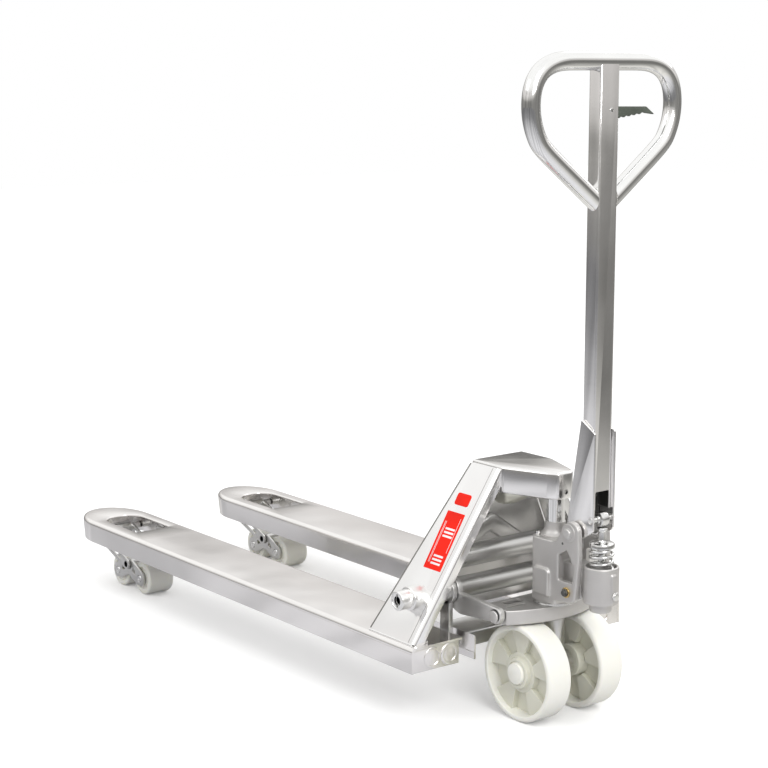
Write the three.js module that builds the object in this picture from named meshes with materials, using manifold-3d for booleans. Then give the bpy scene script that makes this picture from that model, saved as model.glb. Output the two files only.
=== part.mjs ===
// Hand pallet truck, in millimetres, +Z up.
// +X points to the handle, the forks run towards -X, and -Y is the truck's left side.
// The origin is on the floor, under the middle of the truck's length and width.
import * as THREE from "three";
import { mergeVertices } from "three/addons/utils/BufferGeometryUtils.js";
import Module from "manifold-3d";

const wasm = await Module();
wasm.setup();

// ---- driving dimensions ----
const GAP = 0.3; // clearance between touching pieces
const TIP_X = -770; // front of the fork tips
const REAR_X = 770; // rearmost point, the plunger cup's plug
const HEEL_X = 520; // rear end of the fork channels

const FORK = { halfSpan: 260, width: 150, top: 146, depth: 48, wall: 4, heel: 5, bevel: 8, noseLength: 110 };
const FORK_Y = FORK.halfSpan - FORK.width / 2; // centre line of each fork
const FORK_BOTTOM = FORK.top - FORK.depth;
const TIP_HOLE = { front: -672, rear: -512, half: 44, corner: 18 };

const LEG = { footY: 248, headY: 62, headZ: 455, thick: 5 };
const LEG_OUTLINE = { footFront: 377, footRear: 511, headFront: 450, headRear: 532 };
const LEG_SLOPE = (LEG.footY - LEG.headY) / (LEG.headZ - FORK.top);
const PANEL = { bottom: 152, top: 436, thick: 4, setback: 4 };
const CROSS_TUBE = { x: 490, z: 288, r: 21 };
const SHELF = { front: 395, rear: 474, z: 128, thick: 6 };
const HEAD = { front: 448, waist: 532, nose: 637, half: 62, noseHalf: 29, skirt: 50, wall: 5 };

const SHAFT = { x: 463, z: 220, r: 20, journal: 11, bushR: 18, bossR: 22.5, end: 250 };
const ARM = { y: 120, thick: 12, pinX: 590, pinZ: 199, pinR: 7 };
const LUG = { y: 133, thick: 10, z: 120, r: 13, pinR: 6 };
const ROD = { height: 16, thick: 8, front: -600 };

const STEER_X = 610; // steering axis, pump and ram
const PLATE = { front: 546, corner: 606, rear: 639, half: 112, top: 210, thick: 5, skirtZ: 183 };
const BEARING = { outer: 38, inner: 22.5, top: 214.2 };
const WHEEL = { r: 90, axleZ: 90, inner: 37, outer: 91, axleR: 10 };
const PUMP = { front: 582, rear: 654, half: 40, bottom: 214.6, top: 336 };
const RAM = { r: 17, bottom: 282, boreFloor: 219, top: 446 };
const PIVOT = { x: 686, z: 358, r: 19, pinR: 8 };
const CUP = { x: 730, r: 32, bore: 27, bottom: 235, floor: 254.5, top: 303 };
const PLUNGER = { stemBottom: 308, capZ: 336, capTop: 346, capR: 23, stemR: 6, top: 372.5 };
const PUSH_ROLLER = { x: 727, z: 387, r: 14, half: 13, pinR: 5 };

const COLUMN = { x: 713, depth: 30, half: 22, wall: 2.5, bottom: 404, windowTop: 437, top: 1164.6 };
const BRACKET = { frontTop: 564, rearTop: 543, bottom: 363, proud: 6, thick: 4 };
const LOOP = { r: 16, wall: 3, topZ: 1181, half: 167, wideZ: 1100, jointZ: 940 };
const TRIGGER = { y: 4, z: 1098, tipY: 121, thick: 6, pinR: 4 };

const FRAME_PIVOT = { x: -690, z: 112, r: 8 };
const BOGIE_PIVOT = { x: -560, z: 62, r: 8 };
const ROLLER = { r: 37, half: 30, pitch: 96, axleR: 8 };
const BOGIE_IN = ROLLER.half + 3; // inner face of each bogie plate, from the fork's centre line
const BOGIE_OUT = BOGIE_IN + 5;
const FRAME_IN = BOGIE_OUT + 1.5; // inner face of each wheel-frame plate
const FRAME_OUT = FRAME_IN + 5;

const ROUND = 16; // sides of a plain round bar
const FINE = 28; // sides of a wheel

// ---- materials ----
const steel = (color, roughness, metalness) =>
  new THREE.MeshStandardMaterial({ color, roughness, metalness });
const MIRROR = steel(0xf2f1ee, 0.12, 1);
const SATIN = steel(0xc9c9c6, 0.35, 1);
const CAST = steel(0xc7c1be, 0.5, 0.8);
const NYLON = steel(0xf6f4e4, 0.5, 0);
const DARK = steel(0x55574e, 0.5, 0.3);
const BRASS = steel(0xb58a3c, 0.35, 1);
const BLACK = steel(0x222222, 0.6, 0);

// ---- solids: three.js geometry in, manifold-3d joins and cuts, three.js geometry out ----
function toSolid(geometry) {
  const plain = geometry.clone();
  plain.deleteAttribute("normal");
  plain.deleteAttribute("uv");
  const merged = mergeVertices(plain, 1e-4);
  const mesh = new wasm.Mesh({
    numProp: 3,
    vertProperties: merged.attributes.position.array,
    triVerts: new Uint32Array(merged.index.array),
  });
  return new wasm.Manifold(mesh);
}

function toGeometry(solid) {
  const mesh = solid.getMesh();
  const geometry = new THREE.BufferGeometry();
  geometry.setAttribute("position", new THREE.BufferAttribute(mesh.vertProperties, 3));
  geometry.setIndex(new THREE.BufferAttribute(mesh.triVerts, 1));
  geometry.computeVertexNormals();
  return geometry;
}

const joined = (...solids) => solids.reduce((sum, solid) => sum.add(solid));
const cut = (solid, ...tools) => tools.reduce((rest, tool) => rest.subtract(tool), solid);

// A solid mirrored to the other side of the truck, with its faces turned back outwards.
function mirrorY(solid) {
  const mesh = solid.getMesh();
  const position = mesh.vertProperties.slice();
  for (let i = 1; i < position.length; i += 3) position[i] = -position[i];
  const tris = mesh.triVerts.slice();
  for (let i = 0; i < tris.length; i += 3) {
    const first = tris[i];
    tris[i] = tris[i + 1];
    tris[i + 1] = first;
  }
  return new wasm.Manifold(new wasm.Mesh({ numProp: 3, vertProperties: position, triVerts: tris }));
}

function box(x0, x1, y0, y1, z0, z1) {
  const geometry = new THREE.BoxGeometry(x1 - x0, y1 - y0, z1 - z0);
  geometry.translate((x0 + x1) / 2, (y0 + y1) / 2, (z0 + z1) / 2);
  return toSolid(geometry);
}

// A round bar along X, Y or Z, from one end to the other, through the two other coordinates.
function barX(y, z, r, x0, x1, sides = ROUND) {
  const geometry = new THREE.CylinderGeometry(r, r, x1 - x0, sides);
  geometry.rotateZ(Math.PI / 2).translate((x0 + x1) / 2, y, z);
  return toSolid(geometry);
}

function barY(x, z, r, y0, y1, sides = ROUND) {
  const geometry = new THREE.CylinderGeometry(r, r, y1 - y0, sides);
  geometry.translate(x, (y0 + y1) / 2, z);
  return toSolid(geometry);
}

function barZ(x, y, r, z0, z1, sides = ROUND) {
  const geometry = new THREE.CylinderGeometry(r, r, z1 - z0, sides);
  geometry.rotateX(Math.PI / 2).translate(x, y, (z0 + z1) / 2);
  return toSolid(geometry);
}

function shapeOf(points) {
  return new THREE.Shape(points.map(([u, v]) => new THREE.Vector2(u, v)));
}

// A flat outline in X and Z, given thickness along Y.
function plateXZ(outline, y0, y1, curveSegments = 6) {
  const shape = outline instanceof THREE.Shape ? outline : shapeOf(outline);
  const geometry = new THREE.ExtrudeGeometry(shape, {
    depth: y1 - y0,
    bevelEnabled: false,
    curveSegments,
  });
  geometry.rotateX(Math.PI / 2).translate(0, y1, 0);
  return toSolid(geometry);
}

// A flat outline in X and Y, given height along Z.
function plateXY(outline, z0, z1, bevel = 0, curveSegments = 8) {
  const shape = outline instanceof THREE.Shape ? outline : shapeOf(outline);
  const geometry = new THREE.ExtrudeGeometry(shape, {
    depth: z1 - z0 - 2 * bevel,
    bevelEnabled: bevel > 0,
    bevelThickness: bevel,
    bevelSize: bevel,
    bevelOffset: -bevel,
    bevelSegments: 2,
    curveSegments,
  });
  geometry.translate(0, 0, z0 + bevel);
  return toSolid(geometry);
}

// A flat outline in Y and Z, given thickness along X.
function plateYZ(outline, x0, x1, curveSegments = 6) {
  const shape = outline instanceof THREE.Shape ? outline : shapeOf(outline);
  const geometry = new THREE.ExtrudeGeometry(shape, {
    depth: x1 - x0,
    bevelEnabled: false,
    curveSegments,
  });
  geometry.applyMatrix4(new THREE.Matrix4().set(0, 0, 1, x0, 1, 0, 0, 0, 0, 1, 0, 0, 0, 0, 0, 1));
  return toSolid(geometry);
}

// A turned body on a vertical or a crosswise axis: radius and position pairs, closed on the axis.
function turnedZ(x, y, profile, sides = ROUND) {
  const points = profile.map(([r, z]) => new THREE.Vector2(r, z));
  const geometry = new THREE.LatheGeometry(points, sides);
  geometry.rotateX(Math.PI / 2).translate(x, y, 0);
  return toSolid(geometry);
}

function turnedY(x, z, profile, sides = FINE) {
  const points = profile.map(([r, y]) => new THREE.Vector2(r, y));
  const geometry = new THREE.LatheGeometry(points, sides);
  geometry.translate(x, 0, z);
  return toSolid(geometry);
}

const root = new THREE.Group();

function addPiece(name, solid, material) {
  const mesh = new THREE.Mesh(toGeometry(solid), material);
  mesh.name = name;
  root.add(mesh);
}

// The left-hand solid and its mirror image, as two pieces.
function addPair(name, leftSolid, material) {
  addPiece("left_" + name, leftSolid, material);
  addPiece("right_" + name, mirrorY(leftSolid), material);
}

// ---- forks ----
// Plan outline of one fork about its own centre line, drawn inside the true edge by inset.
function forkPlan(rearX, inset) {
  const half = FORK.width / 2 - inset;
  const noseStart = TIP_X + FORK.noseLength;
  const shape = new THREE.Shape();
  shape.moveTo(rearX, -half);
  shape.lineTo(rearX, half);
  shape.lineTo(noseStart, half);
  shape.absellipse(noseStart, 0, FORK.noseLength - inset, half, Math.PI / 2, 1.5 * Math.PI, false);
  shape.closePath();
  return shape;
}

function tipHolePlan() {
  const { front, rear, half, corner } = TIP_HOLE;
  const shape = new THREE.Shape();
  shape.moveTo(rear, -half);
  shape.lineTo(rear, half);
  shape.lineTo(front + corner * 2, half);
  shape.quadraticCurveTo(front, half, front, 0);
  shape.quadraticCurveTo(front, -half, front + corner * 2, -half);
  shape.closePath();
  return shape;
}

function makeFork() {
  const above = 10;
  const skin = plateXY(forkPlan(HEEL_X, 0), FORK_BOTTOM - 2 * FORK.bevel, FORK.top, FORK.bevel, 10);
  const hollow = plateXY(
    forkPlan(HEEL_X - FORK.heel, FORK.wall), FORK_BOTTOM - above, FORK.top - FORK.wall, 0, 10);
  const below = box(TIP_X - above, HEEL_X + above, -FORK.width, FORK.width, 0, FORK_BOTTOM);
  const squareHeel = box(HEEL_X - 2 * FORK.bevel, HEEL_X, -FORK.width / 2 + FORK.bevel,
    FORK.width / 2 - FORK.bevel, FORK_BOTTOM, FORK.top);
  const tipHole = plateXY(tipHolePlan(), FORK_BOTTOM, FORK.top + above);
  const lugY = FORK_Y - LUG.y;
  const slotFront = SHAFT.x - 62;
  const lugSlot = box(slotFront, HEEL_X + above, lugY - LUG.thick, lugY + LUG.thick,
    FORK_BOTTOM + LUG.r, FORK.top + above);
  // The heel is closed, but for the way past it that the push rod's rear end needs.
  const rodGap = box(HEEL_X - FORK.heel - 1, HEEL_X + above, lugY - LUG.thick - 2,
    FORK.width / 2 - FORK.wall, 0, FORK.top - FORK.wall);
  // The legs stand on a seat a hair below the load face, so the load face itself is clear.
  const legSeat = box(LEG_OUTLINE.footFront - 2, HEEL_X + above, -FORK.width, FORK.width,
    FORK.top - GAP, FORK.top + above);
  const fork = cut(joined(skin, squareHeel), hollow, below, tipHole, lugSlot, rodGap, legSeat);
  return fork.translate(0, -FORK_Y, 0);
}

function makeFramePin() {
  const reach = FORK.width / 2 - FORK.wall - 5; // the channel narrows towards the tip
  return barY(FRAME_PIVOT.x, FRAME_PIVOT.z, FRAME_PIVOT.r, -FORK_Y - reach, -FORK_Y + reach, 12);
}

// ---- inclined legs and what stands between them ----
// Places a solid drawn flat (u along X, v up the slope, thickness outwards) on the left leg's plane.
function onLeftLeg(solid) {
  const angle = Math.atan2(1, LEG_SLOPE);
  const degrees = (angle * 180) / Math.PI;
  return solid.rotate([degrees, 0, 0]).translate(0, -LEG.footY, FORK.top + GAP);
}

function legLength() {
  return Math.hypot(LEG.footY - LEG.headY, LEG.headZ - FORK.top);
}

function legWeb(thick) {
  const length = legLength();
  const { footFront, footRear, headFront, headRear } = LEG_OUTLINE;
  return plateXY([[footFront, 0], [footRear, 0], [headRear, length], [headFront, length]],
    -thick, 0);
}

// Everything outside the inner faces of the two legs, to trim what is fitted between them.
function outsideLegs() {
  const far = 600;
  const block = box(0, HEEL_X + far, -far, far, -LEG.thick - GAP, far);
  const left = onLeftLeg(block);
  return joined(left, mirrorY(left));
}

function makeLeg() {
  const length = legLength();
  const { footRear, headRear } = LEG_OUTLINE;
  const lip = 12;
  const flange = plateXY([[footRear - 5, 0], [footRear, 0], [headRear, length], [headRear - 5, length]],
    -lip, 0);
  const leg = onLeftLeg(joined(legWeb(LEG.thick), flange));
  const footplate = box(LEG_OUTLINE.footFront, footRear, -LEG.footY + 2, -LEG.footY + 34,
    FORK.top + GAP, FORK.top + GAP + LEG.thick);
  const toFloor = box(0, 900, -400, 0, 0, FORK.top + GAP);
  const aboveHead = box(0, 900, -400, 0, HEAD_UNDER, 900);
  const shaftHole = barY(SHAFT.x, SHAFT.z, SHAFT.bossR + GAP, -260, -150);
  return cut(joined(leg, footplate), toFloor, aboveHead, shaftHole);
}
const HEAD_UNDER = LEG.headZ - HEAD.wall - GAP;

function makeBush() {
  const inner = barY(SHAFT.x, SHAFT.z, SHAFT.journal + GAP, -SHAFT.end - 1, -190);
  const outer = joined(barY(SHAFT.x, SHAFT.z, SHAFT.bushR, -SHAFT.end, -196),
    barY(SHAFT.x, SHAFT.z, SHAFT.bossR, -SHAFT.end + 25, -196));
  const slit = box(SHAFT.x - 2, SHAFT.x + 2, -SHAFT.end - 1, -SHAFT.end + 14, SHAFT.z, SHAFT.z + 30);
  return cut(outer, inner, slit);
}

// Front edge of the legs at a height, which the panel follows.
function legFrontX(z) {
  const share = (z - FORK.top) / (LEG.headZ - FORK.top);
  return THREE.MathUtils.lerp(LEG_OUTLINE.footFront, LEG_OUTLINE.headFront, share);
}

function makePanel() {
  const start = legFrontX(PANEL.bottom) + PANEL.setback;
  const end = legFrontX(PANEL.top) + PANEL.setback;
  const far = 260;
  const slab = plateXZ([[start, PANEL.bottom], [start + PANEL.thick, PANEL.bottom],
    [end + PANEL.thick, PANEL.top], [end, PANEL.top]], -far, far);
  const inPlace = cut(slab, outsideLegs());
  return inPlace;
}

// Roof-shaped rib pressed on the panel's rear face.
function makeBrace() {
  const peak = 343;
  const tall = 37;
  const drop = 69;
  const half = 108;
  const rib = [[-half, peak - drop - tall], [0, peak - tall], [half, peak - drop - tall],
    [half, peak - drop], [0, peak], [-half, peak - drop]];
  const chevron = plateYZ(rib, 300, 600);
  const low = legFrontX(200) + PANEL.setback + PANEL.thick + GAP;
  const high = legFrontX(400) + PANEL.setback + PANEL.thick + GAP;
  const layer = plateXZ([[low, 200], [low + 10, 200], [high + 10, 400], [high, 400]], -half - 5, half + 5);
  return chevron.intersect(layer);
}

function makeCrossTube() {
  const tube = cut(barY(CROSS_TUBE.x, CROSS_TUBE.z, CROSS_TUBE.r, -200, 200),
    barY(CROSS_TUBE.x, CROSS_TUBE.z, CROSS_TUBE.r - 3, -210, 210));
  return cut(tube, outsideLegs());
}

function makeShelf() {
  const half = FORK_Y - FORK.width / 2 - GAP;
  const top = box(SHELF.front, SHELF.rear, -half, half, SHELF.z, SHELF.z + SHELF.thick);
  const lip = box(SHELF.rear - SHELF.thick, SHELF.rear, -half, half, SHELF.z - 22, SHELF.z + 1);
  return joined(top, lip);
}

// Head plate over the ram: a cap with a skirt, pointed towards the handle.
function makeHead() {
  const { front, waist, nose, half, noseHalf, wall } = HEAD;
  const bottom = LEG.headZ - HEAD.skirt;
  const outline = (inset) => [[front + inset, -half + inset], [waist, -half + inset],
    [nose - 22, -noseHalf + inset], [nose - inset, -noseHalf / 2], [nose - inset, noseHalf / 2],
    [nose - 22, noseHalf - inset], [waist, half - inset], [front + inset, half - inset]];
  const cap = plateXY(outline(0), bottom, LEG.headZ);
  const inside = plateXY(outline(wall), bottom - 10, LEG.headZ - wall);
  const rise = 34;
  const underCut = plateXZ([[front - 10, bottom - 10], [waist - 10, bottom - 10],
    [waist - 30, bottom + rise], [front - 10, bottom + rise + 8]], -half - 10, half + 10);
  const bolt = barX(0, LEG.headZ - 36, 5, nose - 20, nose + 10, 12);
  const walls = cut(cap, inside, underCut, bolt);
  return cut(walls, legSeats(bottom));
}

// Room for the legs' top ends inside the head's side walls.
function legSeats(bottom) {
  const web = onLeftLeg(legWeb(LEG.thick + 12)).intersect(box(0, 900, -400, 0, 0, HEAD_UNDER + GAP));
  const seat = joined(web, web.translate(GAP, -GAP, GAP), web.translate(-GAP, GAP, 0));
  const slab = box(0, 900, -400, 0, bottom - 50, HEAD_UNDER + GAP);
  const one = seat.intersect(slab);
  return joined(one, mirrorY(one));
}

addPair("fork", makeFork(), MIRROR);
addPair("frame_pin", makeFramePin(), SATIN);
addPair("leg", makeLeg(), MIRROR);
addPair("shaft_bush", makeBush(), SATIN);
addPiece("bulkhead_panel", makePanel(), MIRROR);
addPiece("brace_rib", makeBrace(), MIRROR);
addPiece("cross_tube", makeCrossTube(), SATIN);
addPiece("cross_member", makeShelf(), SATIN);
addPiece("head_plate", makeHead(), MIRROR);

// ---- rocker: torsion shaft, lift arms and the lugs that push the rods ----
function makeTorsionShaft() {
  const tubeEnd = 180;
  const journal = barY(SHAFT.x, SHAFT.z, SHAFT.journal, -SHAFT.end + 6, SHAFT.end - 6);
  return joined(barY(SHAFT.x, SHAFT.z, SHAFT.r, -tubeEnd, tubeEnd), journal);
}

function makeArm() {
  const y0 = -ARM.y - ARM.thick / 2;
  const y1 = -ARM.y + ARM.thick / 2;
  const bar = plateXZ([[437, 221], [530, 218], [597, 214], [604, 203], [600, 190], [572, 186],
    [486, 179], [463, 193], [437, 200]], y0, y1);
  const hub = barY(SHAFT.x, SHAFT.z, SHAFT.r + 7, y0, y1);
  const eye = barY(ARM.pinX, ARM.pinZ, 15, y0, y1);
  const shaftHole = barY(SHAFT.x, SHAFT.z, SHAFT.r + GAP, y0 - 5, y1 + 5);
  const pinHole = barY(ARM.pinX, ARM.pinZ, ARM.pinR + GAP, y0 - 5, y1 + 5);
  return cut(joined(bar, hub, eye), shaftHole, pinHole);
}

function makeArmPin() {
  const head = barY(ARM.pinX, ARM.pinZ, 11, -ARM.y - 11, -ARM.y - ARM.thick / 2 - GAP);
  return joined(head, barY(ARM.pinX, ARM.pinZ, ARM.pinR, -ARM.y - 8, -PLATE.half + 12));
}

function makeLug() {
  const y0 = -LUG.y - LUG.thick / 2;
  const y1 = -LUG.y + LUG.thick / 2;
  const half = LUG.r;
  const bar = box(SHAFT.x - half, SHAFT.x + half, y0, y1, LUG.z, SHAFT.z);
  const hub = barY(SHAFT.x, SHAFT.z, SHAFT.r + 6, y0, y1);
  const toe = barY(SHAFT.x, LUG.z, half, y0, y1);
  const pin = barY(SHAFT.x, LUG.z, LUG.pinR, y1 - 1, y1 + ROD.thick + 2, 12);
  return cut(joined(bar, hub, toe, pin), barY(SHAFT.x, SHAFT.z, SHAFT.r + GAP, y0 - 5, y1 + 5));
}

// The push rod runs inside the fork beside the rollers, pinned to the lug's side.
function makePushRod() {
  const y0 = -LUG.y + LUG.thick / 2 + 1;
  const y1 = y0 + ROD.thick;
  const half = ROD.height / 2;
  const bar = box(ROD.front, SHAFT.x, y0, y1, LUG.z - half, LUG.z + half);
  const eye = barY(SHAFT.x, LUG.z, half + 1.5, y0, y1);
  return cut(joined(bar, eye), barY(SHAFT.x, LUG.z, LUG.pinR + GAP, y0 - 5, y1 + 5, 12));
}

addPiece("torsion_shaft", makeTorsionShaft(), SATIN);
addPair("lift_arm", makeArm(), SATIN);
addPair("arm_pin", makeArmPin(), SATIN);
addPair("lug", makeLug(), SATIN);
addPair("push_rod", makePushRod(), SATIN);

// ---- load rollers: wheel frame, bogie, axles and rollers in each fork tip ----
function makeWheelFrame() {
  const dx = BOGIE_PIVOT.x - FRAME_PIVOT.x;
  const dz = BOGIE_PIVOT.z - FRAME_PIVOT.z;
  const length = Math.hypot(dx, dz);
  const side = (y0) => {
    const half = 12;
    const link = plateXZ([[0, -half], [length, -half], [length, half], [0, half]], y0, y0 + 5)
      .rotate([0, (Math.atan2(-dz, dx) * 180) / Math.PI, 0])
      .translate(FRAME_PIVOT.x, 0, FRAME_PIVOT.z);
    return joined(link, barY(FRAME_PIVOT.x, FRAME_PIVOT.z, 14, y0, y0 + 5),
      barY(BOGIE_PIVOT.x, BOGIE_PIVOT.z, half, y0, y0 + 5));
  };
  const hub = barY(FRAME_PIVOT.x, FRAME_PIVOT.z, 13, -FRAME_OUT, FRAME_OUT);
  const pivotPin = barY(BOGIE_PIVOT.x, BOGIE_PIVOT.z, BOGIE_PIVOT.r, -FRAME_OUT, FRAME_OUT, 12);
  const bore = barY(FRAME_PIVOT.x, FRAME_PIVOT.z, FRAME_PIVOT.r + GAP, -90, 90, 12);
  return cut(joined(side(-FRAME_OUT), side(FRAME_IN), hub, pivotPin), bore).translate(0, -FORK_Y, 0);
}

const axleX = (end) => BOGIE_PIVOT.x + (end === "front" ? -ROLLER.pitch / 2 : ROLLER.pitch / 2);

// Two side plates with a notch between the axles, joined by a bush round the pivot.
function makeBogie() {
  const side = (y0) => {
    const lobe = (x) => barY(x, ROLLER.r, 17, y0, y0 + 5);
    const outline = [[axleX("front") - 10, 26], [BOGIE_PIVOT.x - 12, 34], [BOGIE_PIVOT.x + 12, 34],
      [axleX("rear") + 10, 26], [axleX("rear") + 13, 48], [BOGIE_PIVOT.x + 13, 73],
      [BOGIE_PIVOT.x - 13, 73], [axleX("front") - 13, 48]];
    return joined(plateXZ(outline, y0, y0 + 5), lobe(axleX("front")), lobe(axleX("rear")));
  };
  const bush = barY(BOGIE_PIVOT.x, BOGIE_PIVOT.z, BOGIE_PIVOT.r + 2.2, -BOGIE_OUT, BOGIE_OUT, 16);
  const holes = ["front", "rear"].map((end) =>
    barY(axleX(end), ROLLER.r, ROLLER.axleR + GAP, -90, 90, 12));
  const bore = barY(BOGIE_PIVOT.x, BOGIE_PIVOT.z, BOGIE_PIVOT.r + GAP, -90, 90, 12);
  return cut(joined(side(-BOGIE_OUT), side(BOGIE_IN), bush), bore, ...holes).translate(0, -FORK_Y, 0);
}

function makeRoller(end) {
  const { r, half, axleR } = ROLLER;
  const bore = axleR + GAP;
  const profile = [[bore, -half], [r - 3, -half], [r, -half + 3], [r, half - 3], [r - 3, half],
    [bore, half], [bore, -half]];
  return turnedY(axleX(end), r, profile, FINE).translate(0, -FORK_Y, 0);
}

function makeRollerAxle(end) {
  return barY(axleX(end), ROLLER.r, ROLLER.axleR, -BOGIE_OUT - 0.5, BOGIE_OUT + 0.5, 12)
    .translate(0, -FORK_Y, 0);
}

addPair("wheel_frame", makeWheelFrame(), SATIN);
addPair("bogie", makeBogie(), SATIN);
for (const end of ["front", "rear"]) {
  addPair(end + "_roller", makeRoller(end), NYLON);
  addPair(end + "_roller_axle", makeRollerAxle(end), SATIN);
}

// ---- thrust plate, which the arms carry and the pump turns on ----
function makeThrustPlate() {
  const { front, corner, rear, half, top, thick, skirtZ } = PLATE;
  const outline = (inset) => {
    const shape = new THREE.Shape();
    shape.moveTo(front + inset, -half + inset);
    shape.lineTo(corner, -half + inset);
    shape.quadraticCurveTo(rear + (rear - corner) * 0.9 - inset, 0, corner, half - inset);
    shape.lineTo(front + inset, half - inset);
    shape.closePath();
    return shape;
  };
  const tray = cut(plateXY(outline(0), skirtZ, top, 0, 12),
    plateXY(outline(thick), skirtZ - 5, top - thick, 0, 12));
  const slot = (y0, y1) => box(front + 12, front + 30, y0, y1, skirtZ - 5, top + 5);
  const spindleHole = barZ(STEER_X, 0, BEARING.inner, skirtZ - 5, top + 5, 24);
  const pinHole = barY(ARM.pinX, ARM.pinZ, ARM.pinR + GAP, -half - 5, half + 5);
  return cut(tray, slot(-84, -40), slot(40, 84), spindleHole, pinHole);
}

function makeThrustBearing() {
  const { outer, inner, top } = BEARING;
  const bottom = PLATE.top + GAP;
  return turnedZ(STEER_X, 0, [[inner, bottom], [outer, bottom], [outer, top], [inner, top],
    [inner, bottom]], 24);
}

addPiece("thrust_plate", makeThrustPlate(), CAST);
addPiece("thrust_bearing", makeThrustBearing(), SATIN);

// ---- pump unit, which turns with the handle ----
function earPlan() {
  const shape = new THREE.Shape();
  shape.moveTo(644, PUMP.top);
  shape.lineTo(655, PUMP.top);
  shape.lineTo(PIVOT.x - 17, PIVOT.z + 8);
  shape.absarc(PIVOT.x, PIVOT.z, PIVOT.r, Math.PI - 0.5, 0.2, true);
  shape.lineTo(712, 300);
  shape.lineTo(700, 236);
  shape.lineTo(644, 228);
  shape.closePath();
  const window = new THREE.Path();
  window.moveTo(661, 268);
  window.lineTo(697, 268);
  window.lineTo(700, 300);
  window.lineTo(682, 326);
  window.lineTo(661, 314);
  window.closePath();
  shape.holes.push(window);
  return shape;
}

function makePumpHousing() {
  const { front, rear, half, bottom, top } = PUMP;
  const block = plateXY([[front, -half + 12], [front + 12, -half], [rear, -half], [rear, half],
    [front + 12, half], [front, half - 12]], bottom, top);
  const earIn = 28.5;
  const nearEar = plateXZ(earPlan(), -half, -earIn, 8);
  const neck = box(rear - 4, CUP.x - 18, -20, 20, 240, 298);
  const web = box(rear - 4, 700, -earIn - 1, earIn + 1, 236, 262);
  const face = box(602, 641, -half - 6, -half + 1, 236, 283);
  const bore = barZ(STEER_X, 0, RAM.r + GAP, RAM.boreFloor, top + 10, 24);
  const collar = turnedZ(STEER_X, 0, [[0, top - 1], [RAM.r + 9, top - 1], [RAM.r + 9, top + 5],
    [RAM.r + 6, top + 8], [0, top + 8]], 24);
  const cup = barZ(CUP.x, 0, CUP.r, CUP.bottom, CUP.top, 28);
  const cupFoot = barZ(CUP.x, 0, 20, CUP.bottom - 16, CUP.bottom + 1, 20);
  const well = barZ(CUP.x, 0, CUP.bore, CUP.floor, CUP.top + 5, 28);
  const rib = box(CUP.x + CUP.r - 4, CUP.x + CUP.r + 3, -7, 7, 240, 292);
  const pinHole = barY(PIVOT.x, PIVOT.z, PIVOT.pinR + GAP, -60, 60);
  const body = joined(block, nearEar, mirrorY(nearEar), neck, web, face, collar, cup, cupFoot, rib);
  return cut(body, bore, well, pinHole);
}

function makeStem() {
  const post = barZ(STEER_X, 0, 20, WHEEL.axleZ, PUMP.bottom - GAP, 24);
  const foot = barY(STEER_X, WHEEL.axleZ, 24, -31, 31, 24);
  return cut(joined(post, foot), barY(STEER_X, WHEEL.axleZ, WHEEL.axleR + GAP, -40, 40));
}

function makeAxle() {
  return barY(STEER_X, WHEEL.axleZ, WHEEL.axleR, -WHEEL.outer + 8, WHEEL.outer - 8);
}

// Wheel with a raised rim, a dished web and a hub, drawn for the left side.
function makeSteeringWheel() {
  const { r, inner, outer } = WHEEL;
  const bore = WHEEL.axleR + GAP;
  const profile = [[bore, -outer + 8], [22, -outer + 8], [22, -outer], [33, -outer], [33, -outer + 7],
    [78, -outer + 7], [81, -outer], [86, -outer], [r, -outer + 4], [r, -inner - 4], [86, -inner],
    [81, -inner], [78, -inner - 7], [30, -inner - 7], [30, -inner], [bore, -inner], [bore, -outer + 8]];
  return turnedY(STEER_X, WHEEL.axleZ, profile);
}

function makeHubCap() {
  const { outer } = WHEEL;
  return barY(STEER_X, WHEEL.axleZ, 21.5, -outer - 4, -outer + 7.7, 24);
}

function makeRam() {
  return joined(barZ(STEER_X, 0, RAM.r, RAM.bottom, RAM.top - 4, 24),
    barZ(STEER_X, 0, RAM.r - 5, RAM.top - 5, RAM.top, 24));
}

function makePlunger() {
  const { stemBottom, capZ, capTop, capR, stemR, top } = PLUNGER;
  return turnedZ(CUP.x, 0, [[0, stemBottom], [stemR, stemBottom], [stemR, capZ], [capR, capZ],
    [capR, capTop - 3], [capR - 3, capTop], [stemR + 2, capTop], [stemR, capTop + 4], [stemR, top - 6],
    [9, top - 5], [9, top], [0, top]], 24);
}

function makeSpring() {
  const turns = 6;
  const steps = 10;
  const wire = 2.8;
  const radius = 20;
  const bottom = CUP.floor + wire + GAP;
  const top = PLUNGER.capZ - wire - GAP;
  const points = [];
  for (let i = 0; i <= turns * steps; i++) {
    const angle = (i / steps) * 2 * Math.PI;
    const z = THREE.MathUtils.lerp(bottom, top, i / (turns * steps));
    points.push(new THREE.Vector3(radius * Math.cos(angle), radius * Math.sin(angle), z));
  }
  const section = new THREE.Shape().absarc(0, 0, wire, 0, 2 * Math.PI, false);
  const geometry = new THREE.ExtrudeGeometry(section, {
    steps: turns * steps,
    curveSegments: 3,
    extrudePath: new THREE.CatmullRomCurve3(points),
  });
  geometry.translate(CUP.x, 0, 0);
  return toSolid(geometry);
}

function makeRearPlug() {
  const plug = barX(0, 254, 9, CUP.x + CUP.r + 3 + GAP, REAR_X, 6);
  return plug;
}

function makeHandlePin() {
  return barY(PIVOT.x, PIVOT.z, PIVOT.pinR, -PUMP.half - 5, PUMP.half + 5);
}

function makeValveLever() {
  const y0 = -20;
  const y1 = -14;
  const hub = barY(678, 282, 7, y0 - 1.5, y1);
  const finger = plateXZ([[674, 284], [682, 280], [700, 312], [694, 316]], y0, y1);
  return joined(hub, finger).translate(0, 0, 24);
}

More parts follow.
